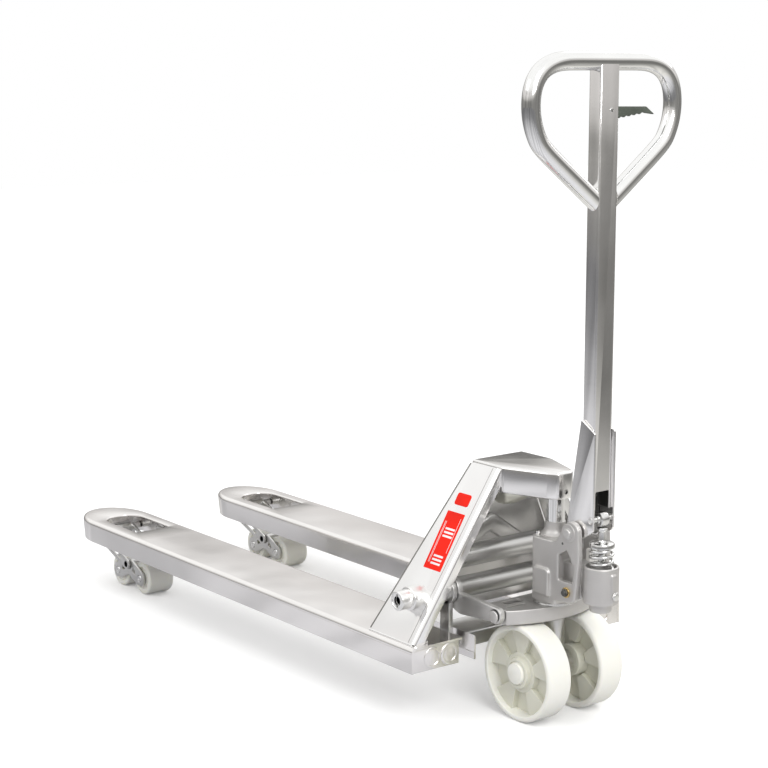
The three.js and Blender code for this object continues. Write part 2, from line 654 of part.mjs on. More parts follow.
function makeValveBolt() {
  const head = barY(684, 250, 8, -PUMP.half - 9, -PUMP.half - 3 - GAP, 6);
  return head;
}

function makeWasher() {
  return barY(684, 250, 9.5, -PUMP.half - 3, -PUMP.half - GAP, 16);
}

addPiece("pump_housing", makePumpHousing(), CAST);
addPiece("steering_stem", makeStem(), SATIN);
addPiece("wheel_axle", makeAxle(), SATIN);
addPair("steering_wheel", makeSteeringWheel(), NYLON);
addPair("hub_cap", makeHubCap(), NYLON);
addPiece("ram", makeRam(), MIRROR);
addPiece("plunger", makePlunger(), SATIN);
addPiece("plunger_spring", makeSpring(), MIRROR);
addPiece("rear_plug", makeRearPlug(), SATIN);
addPiece("handle_pin", makeHandlePin(), SATIN);
addPiece("valve_lever", makeValveLever(), SATIN);
addPiece("valve_bolt", makeValveBolt(), DARK);
addPiece("valve_washer", makeWasher(), BRASS);

// ---- handle ----
const COLUMN_FRONT = COLUMN.x - COLUMN.depth / 2;
const COLUMN_REAR = COLUMN.x + COLUMN.depth / 2;

function makeColumn() {
  const { half, wall, bottom, windowTop, top } = COLUMN;
  const outer = box(COLUMN_FRONT, COLUMN_REAR, -half, half, bottom, top);
  const inner = box(COLUMN_FRONT + wall, COLUMN_REAR - wall, -half + wall, half - wall,
    bottom - 5, top + 5);
  const rearWindow = box(COLUMN.x, COLUMN_REAR + 5, -14, 14, bottom - 5, windowTop);
  const leverSlot = box(COLUMN.x - 5, COLUMN.x + 5, half - wall - 1, half + 5,
    TRIGGER.z - 26, TRIGGER.z + 24);
  const pinHole = barX(TRIGGER.y, TRIGGER.z, TRIGGER.pinR + GAP, COLUMN_FRONT - 5, COLUMN_REAR + 5, 12);
  return cut(outer, inner, rearWindow, leverSlot, pinHole);
}

function loopPath() {
  const { topZ, half, wideZ, jointZ } = LOOP;
  const at = (y, z) => new THREE.Vector3(COLUMN.x, y, z);
  const side = (s) => [at(s * half, topZ), at(s * half, wideZ + 8), at(s * half, wideZ - 28)];
  const path = new THREE.CurvePath();
  const [cornerL, wideL, lowL] = side(-1);
  const [cornerR, wideR, lowR] = side(1);
  const arm = (s) => at(s * (half - 24), wideZ - 62);
  path.add(new THREE.LineCurve3(at(-12, jointZ), arm(-1)));
  path.add(new THREE.QuadraticBezierCurve3(arm(-1), lowL, wideL));
  path.add(new THREE.QuadraticBezierCurve3(wideL, cornerL, at(-half + 86, topZ)));
  path.add(new THREE.LineCurve3(at(-half + 86, topZ), at(half - 86, topZ)));
  path.add(new THREE.QuadraticBezierCurve3(at(half - 86, topZ), cornerR, wideR));
  path.add(new THREE.QuadraticBezierCurve3(wideR, lowR, arm(1)));
  path.add(new THREE.LineCurve3(arm(1), at(12, jointZ)));
  return path;
}

function makeLoop() {
  const section = new THREE.Shape().absarc(0, 0, LOOP.r, 0, 2 * Math.PI, false);
  const bore = new THREE.Path().absarc(0, 0, LOOP.r - LOOP.wall, 0, 2 * Math.PI, true);
  section.holes.push(bore);
  const geometry = new THREE.ExtrudeGeometry(section, {
    steps: 40,
    curveSegments: 5,
    extrudePath: loopPath(),
  });
  const { half, bottom, top } = COLUMN;
  const room = box(COLUMN_FRONT - 20, COLUMN_REAR + 20, -half - GAP, half + GAP, bottom, top);
  return cut(toSolid(geometry), room);
}

// Flared side plates and a front web that carry the column on the pump's pivot.
function makeBracket() {
  const { half } = COLUMN;
  const { frontTop, rearTop, bottom, proud, thick } = BRACKET;
  const y0 = half + GAP;
  const y1 = y0 + thick;
  const rear = COLUMN_REAR + proud;
  const shape = new THREE.Shape();
  shape.moveTo(rear, bottom + 6);
  shape.lineTo(rear, rearTop);
  shape.lineTo(COLUMN_FRONT + 1, frontTop);
  shape.lineTo(PIVOT.x - 17, PIVOT.z + 14);
  shape.absarc(PIVOT.x, PIVOT.z, PIVOT.r - 1, Math.PI - 0.6, -0.6, false);
  shape.lineTo(rear - 6, bottom);
  shape.closePath();
  const sides = [plateXZ(shape, -y1, -y0), plateXZ(shape, y0, y1)];
  const web = plateXZ([[COLUMN_FRONT - 4, 520], [COLUMN_FRONT - GAP, 520], [COLUMN_FRONT - GAP, 408],
    [COLUMN_FRONT - 12, 408]], -y1, y1);
  const pinHole = barY(PIVOT.x, PIVOT.z, PIVOT.pinR + GAP, -60, 60);
  const rollerPin = barY(PUSH_ROLLER.x, PUSH_ROLLER.z, PUSH_ROLLER.pinR + GAP, -60, 60, 12);
  return cut(joined(...sides, web), pinHole, rollerPin);
}

function makePushRoller() {
  const { x, z, r, half, pinR } = PUSH_ROLLER;
  return cut(barY(x, z, r, -half, half, 24), barY(x, z, pinR + GAP, -half - 5, half + 5, 12));
}

function makePushRollerPin() {
  const { x, z, pinR } = PUSH_ROLLER;
  return barY(x, z, pinR, -COLUMN.half - 8, COLUMN.half + 8, 12);
}

function makeReleaseRod() {
  return barZ(COLUMN.x, 0, 3, 424, TRIGGER.z - 22, 8);
}

// Lever plate with a serrated lower edge, out through the column's side.
function makeReleaseLever() {
  const { y, z, tipY, thick } = TRIGGER;
  const teeth = 5;
  const points = [[y - 9, z - 8], [30, z - 13]];
  for (let i = 0; i < teeth; i++) {
    const start = THREE.MathUtils.lerp(36, tipY - 24, i / teeth);
    const rise = i * 1.6;
    points.push([start, z - 14 + rise], [start + 6, z - 10 + rise]);
  }
  points.push([tipY - 23, z - 6], [tipY, z - 9], [tipY - 22, z + 5], [y + 4, z + 10], [y - 9, z + 8]);
  const plate = plateYZ(points, COLUMN.x - thick / 2, COLUMN.x + thick / 2);
  return cut(plate, barX(y, z, TRIGGER.pinR + GAP, COLUMN.x - 20, COLUMN.x + 20, 12));
}

function makeLeverPin() {
  return barX(TRIGGER.y, TRIGGER.z, TRIGGER.pinR, COLUMN_FRONT - 1, COLUMN_REAR + 1, 12);
}

addPiece("handle_column", makeColumn(), MIRROR);
addPiece("handle_loop", makeLoop(), MIRROR);
addPiece("handle_bracket", makeBracket(), MIRROR);
addPiece("push_roller", makePushRoller(), SATIN);
addPiece("push_roller_pin", makePushRollerPin(), SATIN);
addPiece("release_rod", makeReleaseRod(), BLACK);
addPiece("release_lever", makeReleaseLever(), DARK);
addPiece("lever_pin", makeLeverPin(), SATIN);

export default root;
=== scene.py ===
"""A hand pallet truck in polished stainless steel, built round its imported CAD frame.

Sizes are in millimetres until a mesh is made, and most come from the CAD nodes' boxes.
+X points to the handle, -Y is the truck's left side, and +Z is up.
"""
import math
from types import SimpleNamespace

import bmesh
import bpy
from mathutils import Matrix, Vector


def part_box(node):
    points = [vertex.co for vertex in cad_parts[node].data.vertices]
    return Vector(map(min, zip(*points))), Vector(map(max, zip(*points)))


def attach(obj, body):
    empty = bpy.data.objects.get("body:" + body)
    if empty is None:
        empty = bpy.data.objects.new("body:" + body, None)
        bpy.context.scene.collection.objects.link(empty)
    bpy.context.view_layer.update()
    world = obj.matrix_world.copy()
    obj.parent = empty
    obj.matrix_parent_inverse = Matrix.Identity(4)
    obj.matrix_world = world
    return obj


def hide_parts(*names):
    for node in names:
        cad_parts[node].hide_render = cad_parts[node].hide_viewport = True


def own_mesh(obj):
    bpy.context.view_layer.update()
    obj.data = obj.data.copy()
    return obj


MM = 0.001
TO_METRES = Matrix.Diagonal((MM, MM, MM, 1))
TAU = 2 * math.pi
SHARP = math.radians(32)  # edges that turn more than this stay sharp in the shading

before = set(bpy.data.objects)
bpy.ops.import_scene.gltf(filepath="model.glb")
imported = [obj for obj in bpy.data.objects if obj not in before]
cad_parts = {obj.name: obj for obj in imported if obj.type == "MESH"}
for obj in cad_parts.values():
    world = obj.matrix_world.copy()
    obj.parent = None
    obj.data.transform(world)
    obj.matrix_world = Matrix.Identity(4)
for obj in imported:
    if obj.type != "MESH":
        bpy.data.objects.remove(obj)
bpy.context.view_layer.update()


# ---------------------------------------------------------------- camera, lights, floor
CAMERA_AZIMUTH = 52.36
CAMERA_ELEVATION = 9.75
CAMERA_PLACE = (2.9456, -2.1934, 1.1596)
CAMERA_LENS = 84.8
FLOOR_HALF = 14  # metres
FLOOR_FAR = 8  # metres to where the mirrored floor is at its darkest
WHITE = (1, 1, 1, 1)

# The studio that the polished steel mirrors, by the sine of the height above the horizon.
STUDIO_HEIGHTS = [
    (0.00, (0.26, 0.255, 0.245)),
    (0.06, (0.31, 0.305, 0.29)),
    (0.11, (0.62, 0.605, 0.585)),
    (0.20, (0.88, 0.855, 0.84)),
    (0.26, (0.80, 0.78, 0.765)),
    (0.32, (0.94, 0.93, 0.92)),
    (0.45, (1.0, 1.0, 0.99)),
    (1.00, (1.0, 1.0, 1.0)),
]


def add_object(name, data):
    thing = bpy.data.objects.new(name, data)
    bpy.context.scene.collection.objects.link(thing)
    return thing


def aim(thing, place, direction):
    thing.location = place
    thing.rotation_mode = "QUATERNION"
    thing.rotation_quaternion = direction.to_track_quat("-Z", "Y")


def make_camera():
    azimuth, elevation = math.radians(CAMERA_AZIMUTH), math.radians(CAMERA_ELEVATION)
    back = Vector((
        math.sin(azimuth) * math.cos(elevation),
        -math.cos(azimuth) * math.cos(elevation),
        math.sin(elevation),
    ))
    data = bpy.data.cameras.new("camera")
    data.lens = CAMERA_LENS
    data.sensor_width = 36
    data.clip_end = 60
    camera = add_object("camera", data)
    aim(camera, CAMERA_PLACE, -back)
    bpy.context.scene.camera = camera


def make_area_light(name, place, target, size, power):
    data = bpy.data.lights.new(name, "AREA")
    data.shape = "RECTANGLE"
    data.size, data.size_y = size
    data.energy = power
    aim(add_object(name, data), place, Vector(target) - Vector(place))


def feed(tree, node, inputs):
    """Sets a node's inputs. Each is given as a value, or as the socket that feeds it."""
    for key, value in inputs.items():
        if isinstance(value, bpy.types.NodeSocket):
            tree.links.new(value, node.inputs[key])
        else:
            node.inputs[key].default_value = value


def add_node(tree, kind, inputs, **settings):
    node = tree.nodes.new("ShaderNode" + kind)
    for key, value in settings.items():
        setattr(node, key, value)
    feed(tree, node, inputs)
    return node


def add_noise(tree, place, scale, detail, stretch=(1, 1, 1)):
    stretched = add_node(tree, "Mapping", {0: place, "Scale": stretch}).outputs[0]
    inputs = {"Vector": stretched, "Scale": scale, "Detail": detail}
    return add_node(tree, "TexNoise", inputs).outputs["Fac"]


def add_ramp(tree, value, stops):
    """A colour ramp over a value. Stops are (position, colour); a number means a grey."""
    node = add_node(tree, "ValToRGB", {0: value})
    elements = node.color_ramp.elements
    while len(elements) < len(stops):
        elements.new(0.5)
    for element, (position, shade) in zip(elements, stops):
        color = (shade, shade, shade) if isinstance(shade, (int, float)) else shade
        element.position = position
        element.color = (*color, 1)
    return node.outputs[0]


def multiply(tree, first, second, share=1):
    node = add_node(tree, "Mix", {}, data_type="RGBA", blend_type="MULTIPLY")
    feed(tree, node, {"Factor": share, 6: first, 7: second})
    return node.outputs[2]


def by_viewer(tree, mirrored, seen):
    """One shader for what the steel mirrors, and another for what the camera sees."""
    camera = add_node(tree, "LightPath", {}).outputs["Is Camera Ray"]
    inputs = {0: camera, 1: mirrored.outputs[0], 2: seen.outputs[0]}
    return add_node(tree, "MixShader", inputs).outputs[0]


def make_world():
    """Plain white behind the truck; the steel mirrors a grey horizon and a bright ceiling."""
    world = bpy.data.worlds.new("studio")
    bpy.context.scene.world = world
    world.use_nodes = True
    tree = world.node_tree
    tree.nodes.clear()
    direction = add_node(tree, "TexCoord", {}).outputs["Generated"]
    height = add_node(tree, "SeparateXYZ", {0: direction}).outputs["Z"]
    clouds = add_noise(tree, direction, 1.3, 1.5, (3.2, 3.2, 1.0))
    low_down = add_ramp(tree, height, [(0.0, 1.0), (0.24, 1.0), (0.42, 0.12)])
    color = multiply(tree, add_ramp(tree, height, STUDIO_HEIGHTS),
                     add_ramp(tree, clouds, [(0.38, 0.62), (0.62, 1.0)]), low_down)
    surround = add_node(tree, "Background", {"Color": color, "Strength": 1.05})
    backdrop = add_node(tree, "Background", {"Color": WHITE})
    add_node(tree, "OutputWorld", {0: by_viewer(tree, surround, backdrop)})


def make_floor():
    """A pale floor: near white to look at, and greyer in the steel the further off it is."""
    mesh = bpy.data.meshes.new("floor")
    mesh.from_pydata([(x * FLOOR_HALF, y * FLOOR_HALF, 0) for x, y in
                      ((-1, -1), (1, -1), (1, 1), (-1, 1))], [], [(0, 1, 2, 3)])
    floor = add_object("floor", mesh)
    material = bpy.data.materials.new("floor")
    material.use_nodes = True
    tree = material.node_tree
    pale = tree.nodes["Principled BSDF"]
    feed(tree, pale, {
        "Base Color": (0.93, 0.93, 0.93, 1), "Roughness": 0.8, "Specular IOR Level": 0.0,
        "Emission Color": WHITE, "Emission Strength": 0.16})
    place = add_node(tree, "TexCoord", {}).outputs["Object"]
    away = add_node(tree, "VectorMath", {0: place}, operation="LENGTH").outputs["Value"]
    reach = add_node(tree, "Math", {0: away, 1: FLOOR_FAR}, operation="DIVIDE").outputs[0]
    heading = add_node(tree, "VectorMath", {0: place}, operation="NORMALIZE").outputs[0]
    across = add_node(tree, "SeparateXYZ", {0: heading}).outputs["Y"]
    shade = add_ramp(tree, reach, [(0.0, 0.68), (0.14, 0.66), (0.30, 0.42), (0.46, 0.27),
                                   (1.0, 0.24)])
    streaks = add_ramp(tree, add_noise(tree, heading, 5.5, 2.0),
                       [(0.38, 0.66), (0.50, 0.94), (0.64, 1.0)])
    tint = add_ramp(tree, across, [(0.0, (0.965, 0.965, 1.0)), (0.25, (1.0, 0.985, 0.945))])
    color = multiply(tree, multiply(tree, shade, streaks), tint)
    mirrored = add_node(tree, "BsdfDiffuse", {"Color": color})
    feed(tree, tree.nodes["Material Output"], {"Surface": by_viewer(tree, mirrored, pale)})
    mesh.materials.append(material)


bpy.context.scene.view_settings.view_transform = "Standard"
make_camera()
make_world()
make_floor()
make_area_light("key", (3.4, -0.9, 2.6), (0.3, 0, 0.3), (1.8, 2.2), 60)
make_area_light("fill", (-1.0, -3.8, 3.4), (0, 0, 0.3), (2.6, 1.6), 22)
make_area_light("rim", (-0.5, 3.4, 3.0), (0, 0, 0.4), (3.0, 1.6), 30)


# ---------------------------------------------------------------- materials
def make_material(name, color, roughness, metallic, gloss, tone, bumps, **extra):
    """A material whose gloss, tone and relief follow noise in the piece's own space.

    A noise is (scale, detail) or (scale, detail, stretch). gloss is (noise, stops). tone is
    (noise, stops), where a stop's value is a share of the colour. bumps are (noise, distance in
    metres, strength). extra holds further inputs, with _ for a space.
    """
    material = bpy.data.materials.new(name)
    material.use_nodes = True
    tree = material.node_tree
    shader = tree.nodes["Principled BSDF"]
    feed(tree, shader, {"Base Color": (*color, 1), "Roughness": roughness, "Metallic": metallic})
    feed(tree, shader, {key.replace("_", " "): value for key, value in extra.items()})
    place = add_node(tree, "TexCoord", {}).outputs["Object"]
    grain, stops = gloss
    shine = add_ramp(tree, add_noise(tree, place, *grain), stops)
    grain, stops = tone
    stops = [(position, tuple(c * share for c in color)) for position, share in stops]
    shade = add_ramp(tree, add_noise(tree, place, *grain), stops)
    normal = None
    for grain, distance, strength in bumps:
        inputs = {"Height": add_noise(tree, place, *grain), "Distance": distance,
                  "Strength": strength}
        if normal:
            inputs["Normal"] = normal
        normal = add_node(tree, "Bump", inputs).outputs["Normal"]
    feed(tree, shader, {"Roughness": shine, "Base Color": shade, "Normal": normal})
    return material


def polished_steel(name, color, roughness, spread, wave):
    """Polished sheet: faint smears in the gloss and a slow wave that bends reflections."""
    smear = (9, 6)
    return make_material(
        name, color, roughness, 1.0, (smear, [(0.3, roughness), (0.7, roughness + spread)]),
        (smear, [(0.35, 0.95), (0.65, 1.0)]),
        [((3.2, 2), 0.02, wave), ((140, 3, (0.06, 1, 1)), 0.0002, 0.10)])


def brushed_steel(name, color, roughness):
    patch = (14, 5)
    return make_material(
        name, color, roughness, 1.0, (patch, [(0.3, roughness - 0.06), (0.7, roughness + 0.08)]),
        (patch, [(0.3, 0.86), (0.7, 1.0)]), [((260, 4, (1, 0.05, 1)), 0.0003, 0.25)])


def cast_metal(name, color):
    """A fine cast surface under a thin silver-grey coat."""
    patch = (11, 6)
    return make_material(
        name, color, 0.42, 0.75, (patch, [(0.3, 0.34), (0.7, 0.52)]),
        (patch, [(0.3, 0.84), (0.7, 1.02)]), [((60, 4), 0.0012, 0.3), ((420, 3), 0.0004, 0.35)])


def nylon(name, color):
    """Moulded nylon: cream white, slightly see-through, with faint scuffs."""
    scuff = (55, 7)
    return make_material(
        name, color, 0.4, 0.0, (scuff, [(0.35, 0.34), (0.7, 0.52)]),
        ((7, 3), [(0.35, 0.955), (0.65, 1.0)]), [(scuff, 0.0004, 0.2)],
        Subsurface_Weight=0.12, Subsurface_Radius=(0.006, 0.005, 0.003))


def plastic(name, color, roughness, **extra):
    patch = (20, 5)
    return make_material(
        name, color, roughness, 0.0, (patch, [(0.3, roughness - 0.05), (0.7, roughness + 0.1)]),
        (patch, [(0.3, 0.85), (0.7, 1.08)]), [((900, 2), 0.0002, 0.3)], **extra)


MIRROR = polished_steel("polished_sheet", (0.93, 0.92, 0.91), 0.10, 0.10, 0.35)
FORK_STEEL = polished_steel("polished_fork", (0.93, 0.91, 0.895), 0.14, 0.10, 0.45)
LEG_STEEL = polished_steel("polished_leg", (0.97, 0.965, 0.96), 0.10, 0.08, 0.12)
CALM_STEEL = polished_steel("calm_sheet", (0.95, 0.94, 0.925), 0.30, 0.08, 0.0)
# painted shade and reflection: a darker, olive copy of the polished sheet for the head gusset's
# downward-facing underside
SHADED_WARM_STEEL = polished_steel("warm_sheet_painted_shade", (0.80, 0.79, 0.70), 0.34, 0.08, 0.0)
TUBE_STEEL = polished_steel("polished_tube", (0.93, 0.93, 0.92), 0.06, 0.06, 0.05)
SHEEN = polished_steel("soft_polish", (0.93, 0.925, 0.91), 0.28, 0.06, 0.0)
SATIN = brushed_steel("satin_steel", (0.74, 0.735, 0.72), 0.32)
BRIGHT = brushed_steel("bright_steel", (0.84, 0.84, 0.83), 0.20)
# painted shade: dark steel for the strips drawn where the legs' edges fall into shade
EDGE_SHADE_STEEL = brushed_steel("painted_edge_shade", (0.30, 0.295, 0.28), 0.45)
DARK_STEEL = brushed_steel("dark_steel", (0.16, 0.16, 0.155), 0.42)
BRASS = brushed_steel("brass", (0.78, 0.57, 0.25), 0.25)
CAST = cast_metal("cast_grey", (0.66, 0.645, 0.63))
CAST_TOP = cast_metal("cast_grey_deep", (0.47, 0.46, 0.445))
ARM_STEEL = cast_metal("forged_grey", (0.74, 0.73, 0.715))
NYLON = nylon("nylon", (0.93, 0.925, 0.86))
# painted shade: a darker, olive copy of the nylon for the steering wheels' faces and wedges, which
# get less light than the tread
NYLON_SHADED_WEB = nylon("nylon_web_painted_shade", (0.74, 0.735, 0.635))
DARK_PLASTIC = plastic("dark_plastic", (0.10, 0.115, 0.095), 0.45)
LABEL_RED = plastic("label_red", (0.95, 0.022, 0.009), 0.6, Specular_IOR_Level=0.15)
LABEL_WHITE = plastic("label_white", (0.90, 0.90, 0.90), 0.4)


# ---------------------------------------------------------------- geometry helpers
def cad(node):
    """A CAD node's box in millimetres."""
    lo, hi = (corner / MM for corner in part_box(node))
    mid = (lo + hi) / 2
    return SimpleNamespace(x0=lo.x, x1=hi.x, y0=lo.y, y1=hi.y, z0=lo.z, z1=hi.z,
                           cx=mid.x, cy=mid.y, cz=mid.z)


def arc(u, v, radius, start, end, steps=12):
    """Points on an arc, in degrees, both ends included."""
    points = []
    for i in range(steps + 1):
        angle = math.radians(start + (end - start) * i / steps)
        points.append((u + radius * math.cos(angle), v + radius * math.sin(angle)))
    return points


def circle(u, v, radius, steps=48):
    return arc(u, v, radius, 0, 360, steps)[:-1]


def bezier(a, b, c, steps=12):
    return [tuple((1 - t) ** 2 * Vector(a) + 2 * t * (1 - t) * Vector(b) + t * t * Vector(c))
            for t in (i / steps for i in range(steps + 1))]


def rounded(corners, radius=0.0, steps=6):
    """A closed outline with rounded corners; a corner may carry its own radius third."""
    points = []
    count = len(corners)
    for i, corner in enumerate(corners):
        r = corner[2] if len(corner) > 2 else radius
        here = Vector(corner[:2])
        before, after = Vector(corners[i - 1][:2]), Vector(corners[(i + 1) % count][:2])
        to_before, to_after = before - here, after - here
        turn = to_before.angle(to_after, math.pi)
        if r < 0.01 or turn > math.pi - 0.02:
            points.append(tuple(here))
            continue
        reach = r / math.tan(turn / 2)
        reach = min(reach, 0.49 * to_before.length, 0.49 * to_after.length)
        r = reach * math.tan(turn / 2)
        middle = (to_before.normalized() + to_after.normalized()).normalized()
        centre = here + middle * (r / math.sin(turn / 2))
        start = here + to_before.normalized() * reach - centre
        end = here + to_after.normalized() * reach - centre
        sweep = start.angle_signed(end) * -1
        for k in range(steps + 1):
            spin = Matrix.Rotation(sweep * k / steps, 2)
            points.append(tuple(centre + spin @ start))
    return points


def box_outline(u0, u1, v0, v1, radius=0.0, steps=6):
    return rounded([(u0, v0), (u1, v0), (u1, v1), (u0, v1)], radius, steps)


def signed_area(points):
    return sum(a[0] * b[1] - b[0] * a[1] for a, b in zip(points, points[1:] + points[:1])) / 2


PLANES = {  # columns: where the outline's u, the outline's v and the thickness run
    "XY": Matrix(((1, 0, 0), (0, 1, 0), (0, 0, 1))),
    "XZ": Matrix(((1, 0, 0), (0, 0, -1), (0, 1, 0))),
    "YZ": Matrix(((0, 0, 1), (1, 0, 0), (0, 1, 0))),
}
AXES = {  # the same for a turned body, whose axis is the third column
    "X": Matrix(((0, 0, 1), (1, 0, 0), (0, 1, 0))),
    "Y": Matrix(((1, 0, 0), (0, 0, 1), (0, 1, 0))),
    "Z": Matrix(((1, 0, 0), (0, 1, 0), (0, 0, 1))),
}


def cleaned(mesh, outwards):
    """Welds a mesh, shades it by angle, and can point its faces outwards."""
    work = bmesh.new()
    work.from_mesh(mesh)
    bmesh.ops.remove_doubles(work, verts=work.verts, dist=1e-6)
    bmesh.ops.dissolve_degenerate(work, edges=work.edges, dist=1e-7)
    if outwards:
        bmesh.ops.recalc_face_normals(work, faces=work.faces)
        if work.calc_volume(signed=True) < 0:
            bmesh.ops.reverse_faces(work, faces=work.faces)
    for face in work.faces:
        face.smooth = True
    for edge in work.edges:
        edge.smooth = len(edge.link_faces) == 2 and edge.calc_face_angle(0) < SHARP
    work.to_mesh(mesh)
    work.free()


def reshade(thing):
    cleaned(thing.data, outwards=False)
    return thing


def finish_mesh(name, mesh, material):
    cleaned(mesh, outwards=True)
    mesh.materials.clear()
    mesh.materials.append(material)
    return add_object(name, mesh)


def solid(name, work, material, *moves):
    """The object of a bmesh in millimetres, moved by each matrix in turn."""
    mesh = bpy.data.meshes.new(name)
    work.to_mesh(mesh)
    work.free()
    for move in (*moves, TO_METRES):
        mesh.transform(move)
    return finish_mesh(name, mesh, material)


def baked(thing):
    """A mesh of the object with its modifiers applied."""
    depsgraph = bpy.context.evaluated_depsgraph_get()
    return bpy.data.meshes.new_from_object(thing.evaluated_get(depsgraph))


def settle(thing):
    """Applies an object's modifiers for good."""
    mesh = baked(thing)
    thing.modifiers.clear()
    thing.data = mesh
    return thing


def bridge(work, a, b, closed=True):
    """Faces between two rows of corners."""
    for i in range(len(a) if closed else len(a) - 1):
        k = (i + 1) % len(a)
        work.faces.new((a[i], a[k], b[k], b[i]))


def sheet_between(work, outer, inner):
    """Closes two grids of corners into a sheet with thickness."""
    rims = []
    for grid in (outer, inner):
        for a, b in zip(grid, grid[1:]):
            bridge(work, a, b, closed=False)
        rims.append(grid[0] + [row[-1] for row in grid[1:]] + grid[-1][:-1][::-1]
                    + [row[0] for row in grid[1:-1]][::-1])
    bridge(work, *rims)


def plate(name, plane, outline, lo, hi, material, holes=(), edge=0.8):
    """An outline with thickness, holes and rounded edges. lo and hi run along +Z, +Y or +X."""
    data = bpy.data.curves.new(name, "CURVE")
    data.dimensions = "2D"
    data.fill_mode = "BOTH"
    edge = min(edge, (hi - lo) / 2 - 0.05)
    data.extrude = (hi - lo) / 2 - edge
    data.bevel_depth = edge
    data.bevel_resolution = 2
    data.offset = -edge
    for i, points in enumerate([outline, *holes]):
        if (signed_area(points) > 0) == (i > 0):
            points = points[::-1]
        spline = data.splines.new("POLY")
        spline.points.add(len(points) - 1)
        for point, (u, v) in zip(spline.points, points):
            point.co = (u, v, 0, 1)
        spline.use_cyclic_u = True
    curve = add_object(name, data)
    mesh = baked(curve)
    bpy.data.objects.remove(curve)
    bpy.data.curves.remove(data)
    middle = (lo + hi) / 2
    mesh.transform(Matrix.Translation((0, 0, -middle if plane == "XZ" else middle)))
    mesh.transform(TO_METRES @ PLANES[plane].to_4x4())
    return finish_mesh(name, mesh, material)


def turned(name, axis, centre, profile, material, steps=96):
    """A turned body from (radius, position along the axis) pairs; centre gives the other two."""
    work = bmesh.new()
    rings = []
    for radius, along in profile:
        if radius < 1e-4:
            rings.append([work.verts.new((0, 0, along))])
            continue
        rings.append([work.verts.new((radius * math.cos(TAU * i / steps),
                                      radius * math.sin(TAU * i / steps), along))
                      for i in range(steps)])
    closed = profile[0][0] > 1e-4 or profile[-1][0] > 1e-4
    pairs = list(zip(rings, rings[1:])) + ([(rings[-1], rings[0])] if closed else [])
    for a, b in pairs:
        for i in range(steps):
            k = (i + 1) % steps
            corners = [a[i % len(a)], a[k % len(a)], b[k % len(b)], b[i % len(b)]]
            unique = list(dict.fromkeys(corners))
            if len(unique) > 2:
                work.faces.new(unique)
    return solid(name, work, material, AXES[axis].to_4x4(), Matrix.Translation(centre))


def rod_profile(radius, lo, hi, edge=1.0, bore=0.0):
    """Profile of a round bar or bush with rounded rims, for turned()."""
    outer = [(radius - edge, lo)] + [(radius - edge + edge * math.sin(math.radians(a)),
             lo + edge - edge * math.cos(math.radians(a))) for a in (30, 60, 90)]
    outer += [(radius, hi - edge)] + [(radius - edge + edge * math.cos(math.radians(a)),
              hi - edge + edge * math.sin(math.radians(a))) for a in (30, 60, 90)]
    return [(bore, lo), *outer, (bore, hi)]


def rod(name, axis, centre, radius, lo, hi, material, edge=1.0, bore=0.0, steps=64):
    return turned(name, axis, centre, rod_profile(radius, lo, hi, edge, bore), material, steps)


def round_boss(name, axis, centre, radius, ends, edge, bore, material):
    """A finer rod, for the bosses and hubs."""
    return rod(name, axis, centre, radius, *ends, material, edge, bore, 96)


def swept(name, path, radius, material, sides=32):
    """A round section carried along points in space, with flat ends."""
    work = bmesh.new()
    points = [Vector(p) for p in path]
    tangents = [(after - before).normalized() for before, after in
                zip(points[:1] + points[:-1], points[1:] + points[-1:])]
    normal = tangents[0].orthogonal().normalized()
    rings = []
    for point, tangent in zip(points, tangents):
        normal = (normal - tangent * normal.dot(tangent)).normalized()
        side = tangent.cross(normal)
        rings.append([work.verts.new(point + radius * (math.cos(TAU * k / sides) * normal
                                                       + math.sin(TAU * k / sides) * side))
                      for k in range(sides)])
    for a, b in zip(rings, rings[1:]):
        bridge(work, a, b)
    work.faces.new(rings[0][::-1])
    work.faces.new(rings[-1])
    return solid(name, work, material)


def cut(thing, *tools):
    """Cuts solids away for good, and removes the tools."""
    for tool in tools:
        modifier = thing.modifiers.new("solid", "BOOLEAN")
        modifier.operation = "DIFFERENCE"
        modifier.solver = "EXACT"
        modifier.object = tool
        settle(thing)
        bpy.data.objects.remove(tool)
    return reshade(thing)


def soften(thing, width):
    """Rounds an object's sharp edges."""
    modifier = thing.modifiers.new("soften", "BEVEL")
    modifier.width = width * MM
    modifier.segments = 3
    modifier.limit_method = "ANGLE"
    modifier.angle_limit = math.radians(35)
    modifier.use_clamp_overlap = True
    return reshade(settle(thing))


def cast_over(thing, voxel, rounds):
    """Melts overlapping solids into one casting, with small fillets where they meet."""
    remesh = thing.modifiers.new("cast", "REMESH")
    remesh.mode = "VOXEL"
    remesh.voxel_size = voxel * MM
    relax = thing.modifiers.new("relax", "SMOOTH")
    relax.factor = 0.5
    relax.iterations = rounds
    return reshade(settle(thing))


def gathered(name, *things):
    """One object from several closed meshes."""
    mesh = bpy.data.meshes.new(name)
    work = bmesh.new()
    for thing in things:
        thing.data.transform(thing.matrix_world)
        work.from_mesh(thing.data)
    work.to_mesh(mesh)
    work.free()
    mesh.materials.append(things[0].data.materials[0])
    for thing in things:
        bpy.data.objects.remove(thing)
    return add_object(name, mesh)


def mirrored(thing, name):
    """The piece's mirror image on the truck's right side."""
    mesh = thing.data.copy()
    mesh.transform(Matrix.Diagonal((1, -1, 1, 1)))
    mesh.flip_normals()
    return add_object(name, mesh)


def place(thing, body, slot, *nodes):
    """Rides a piece on its body and hides the CAD nodes it stands for. The slot is not used."""
    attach(thing, body)
    if nodes:
        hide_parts(*nodes)
    return thing


def place_pair(left, base, body, slot, *nodes):
    """Places a left piece and its mirror image. In the names, SIDE becomes left or right."""
    right = mirrored(left, "right_" + base)
    left.name = "left_" + base
    for side, thing in (("left", left), ("right", right)):
        named = [node.replace("SIDE", side) for node in nodes]
        place(thing, body.replace("SIDE", side), slot, *named)


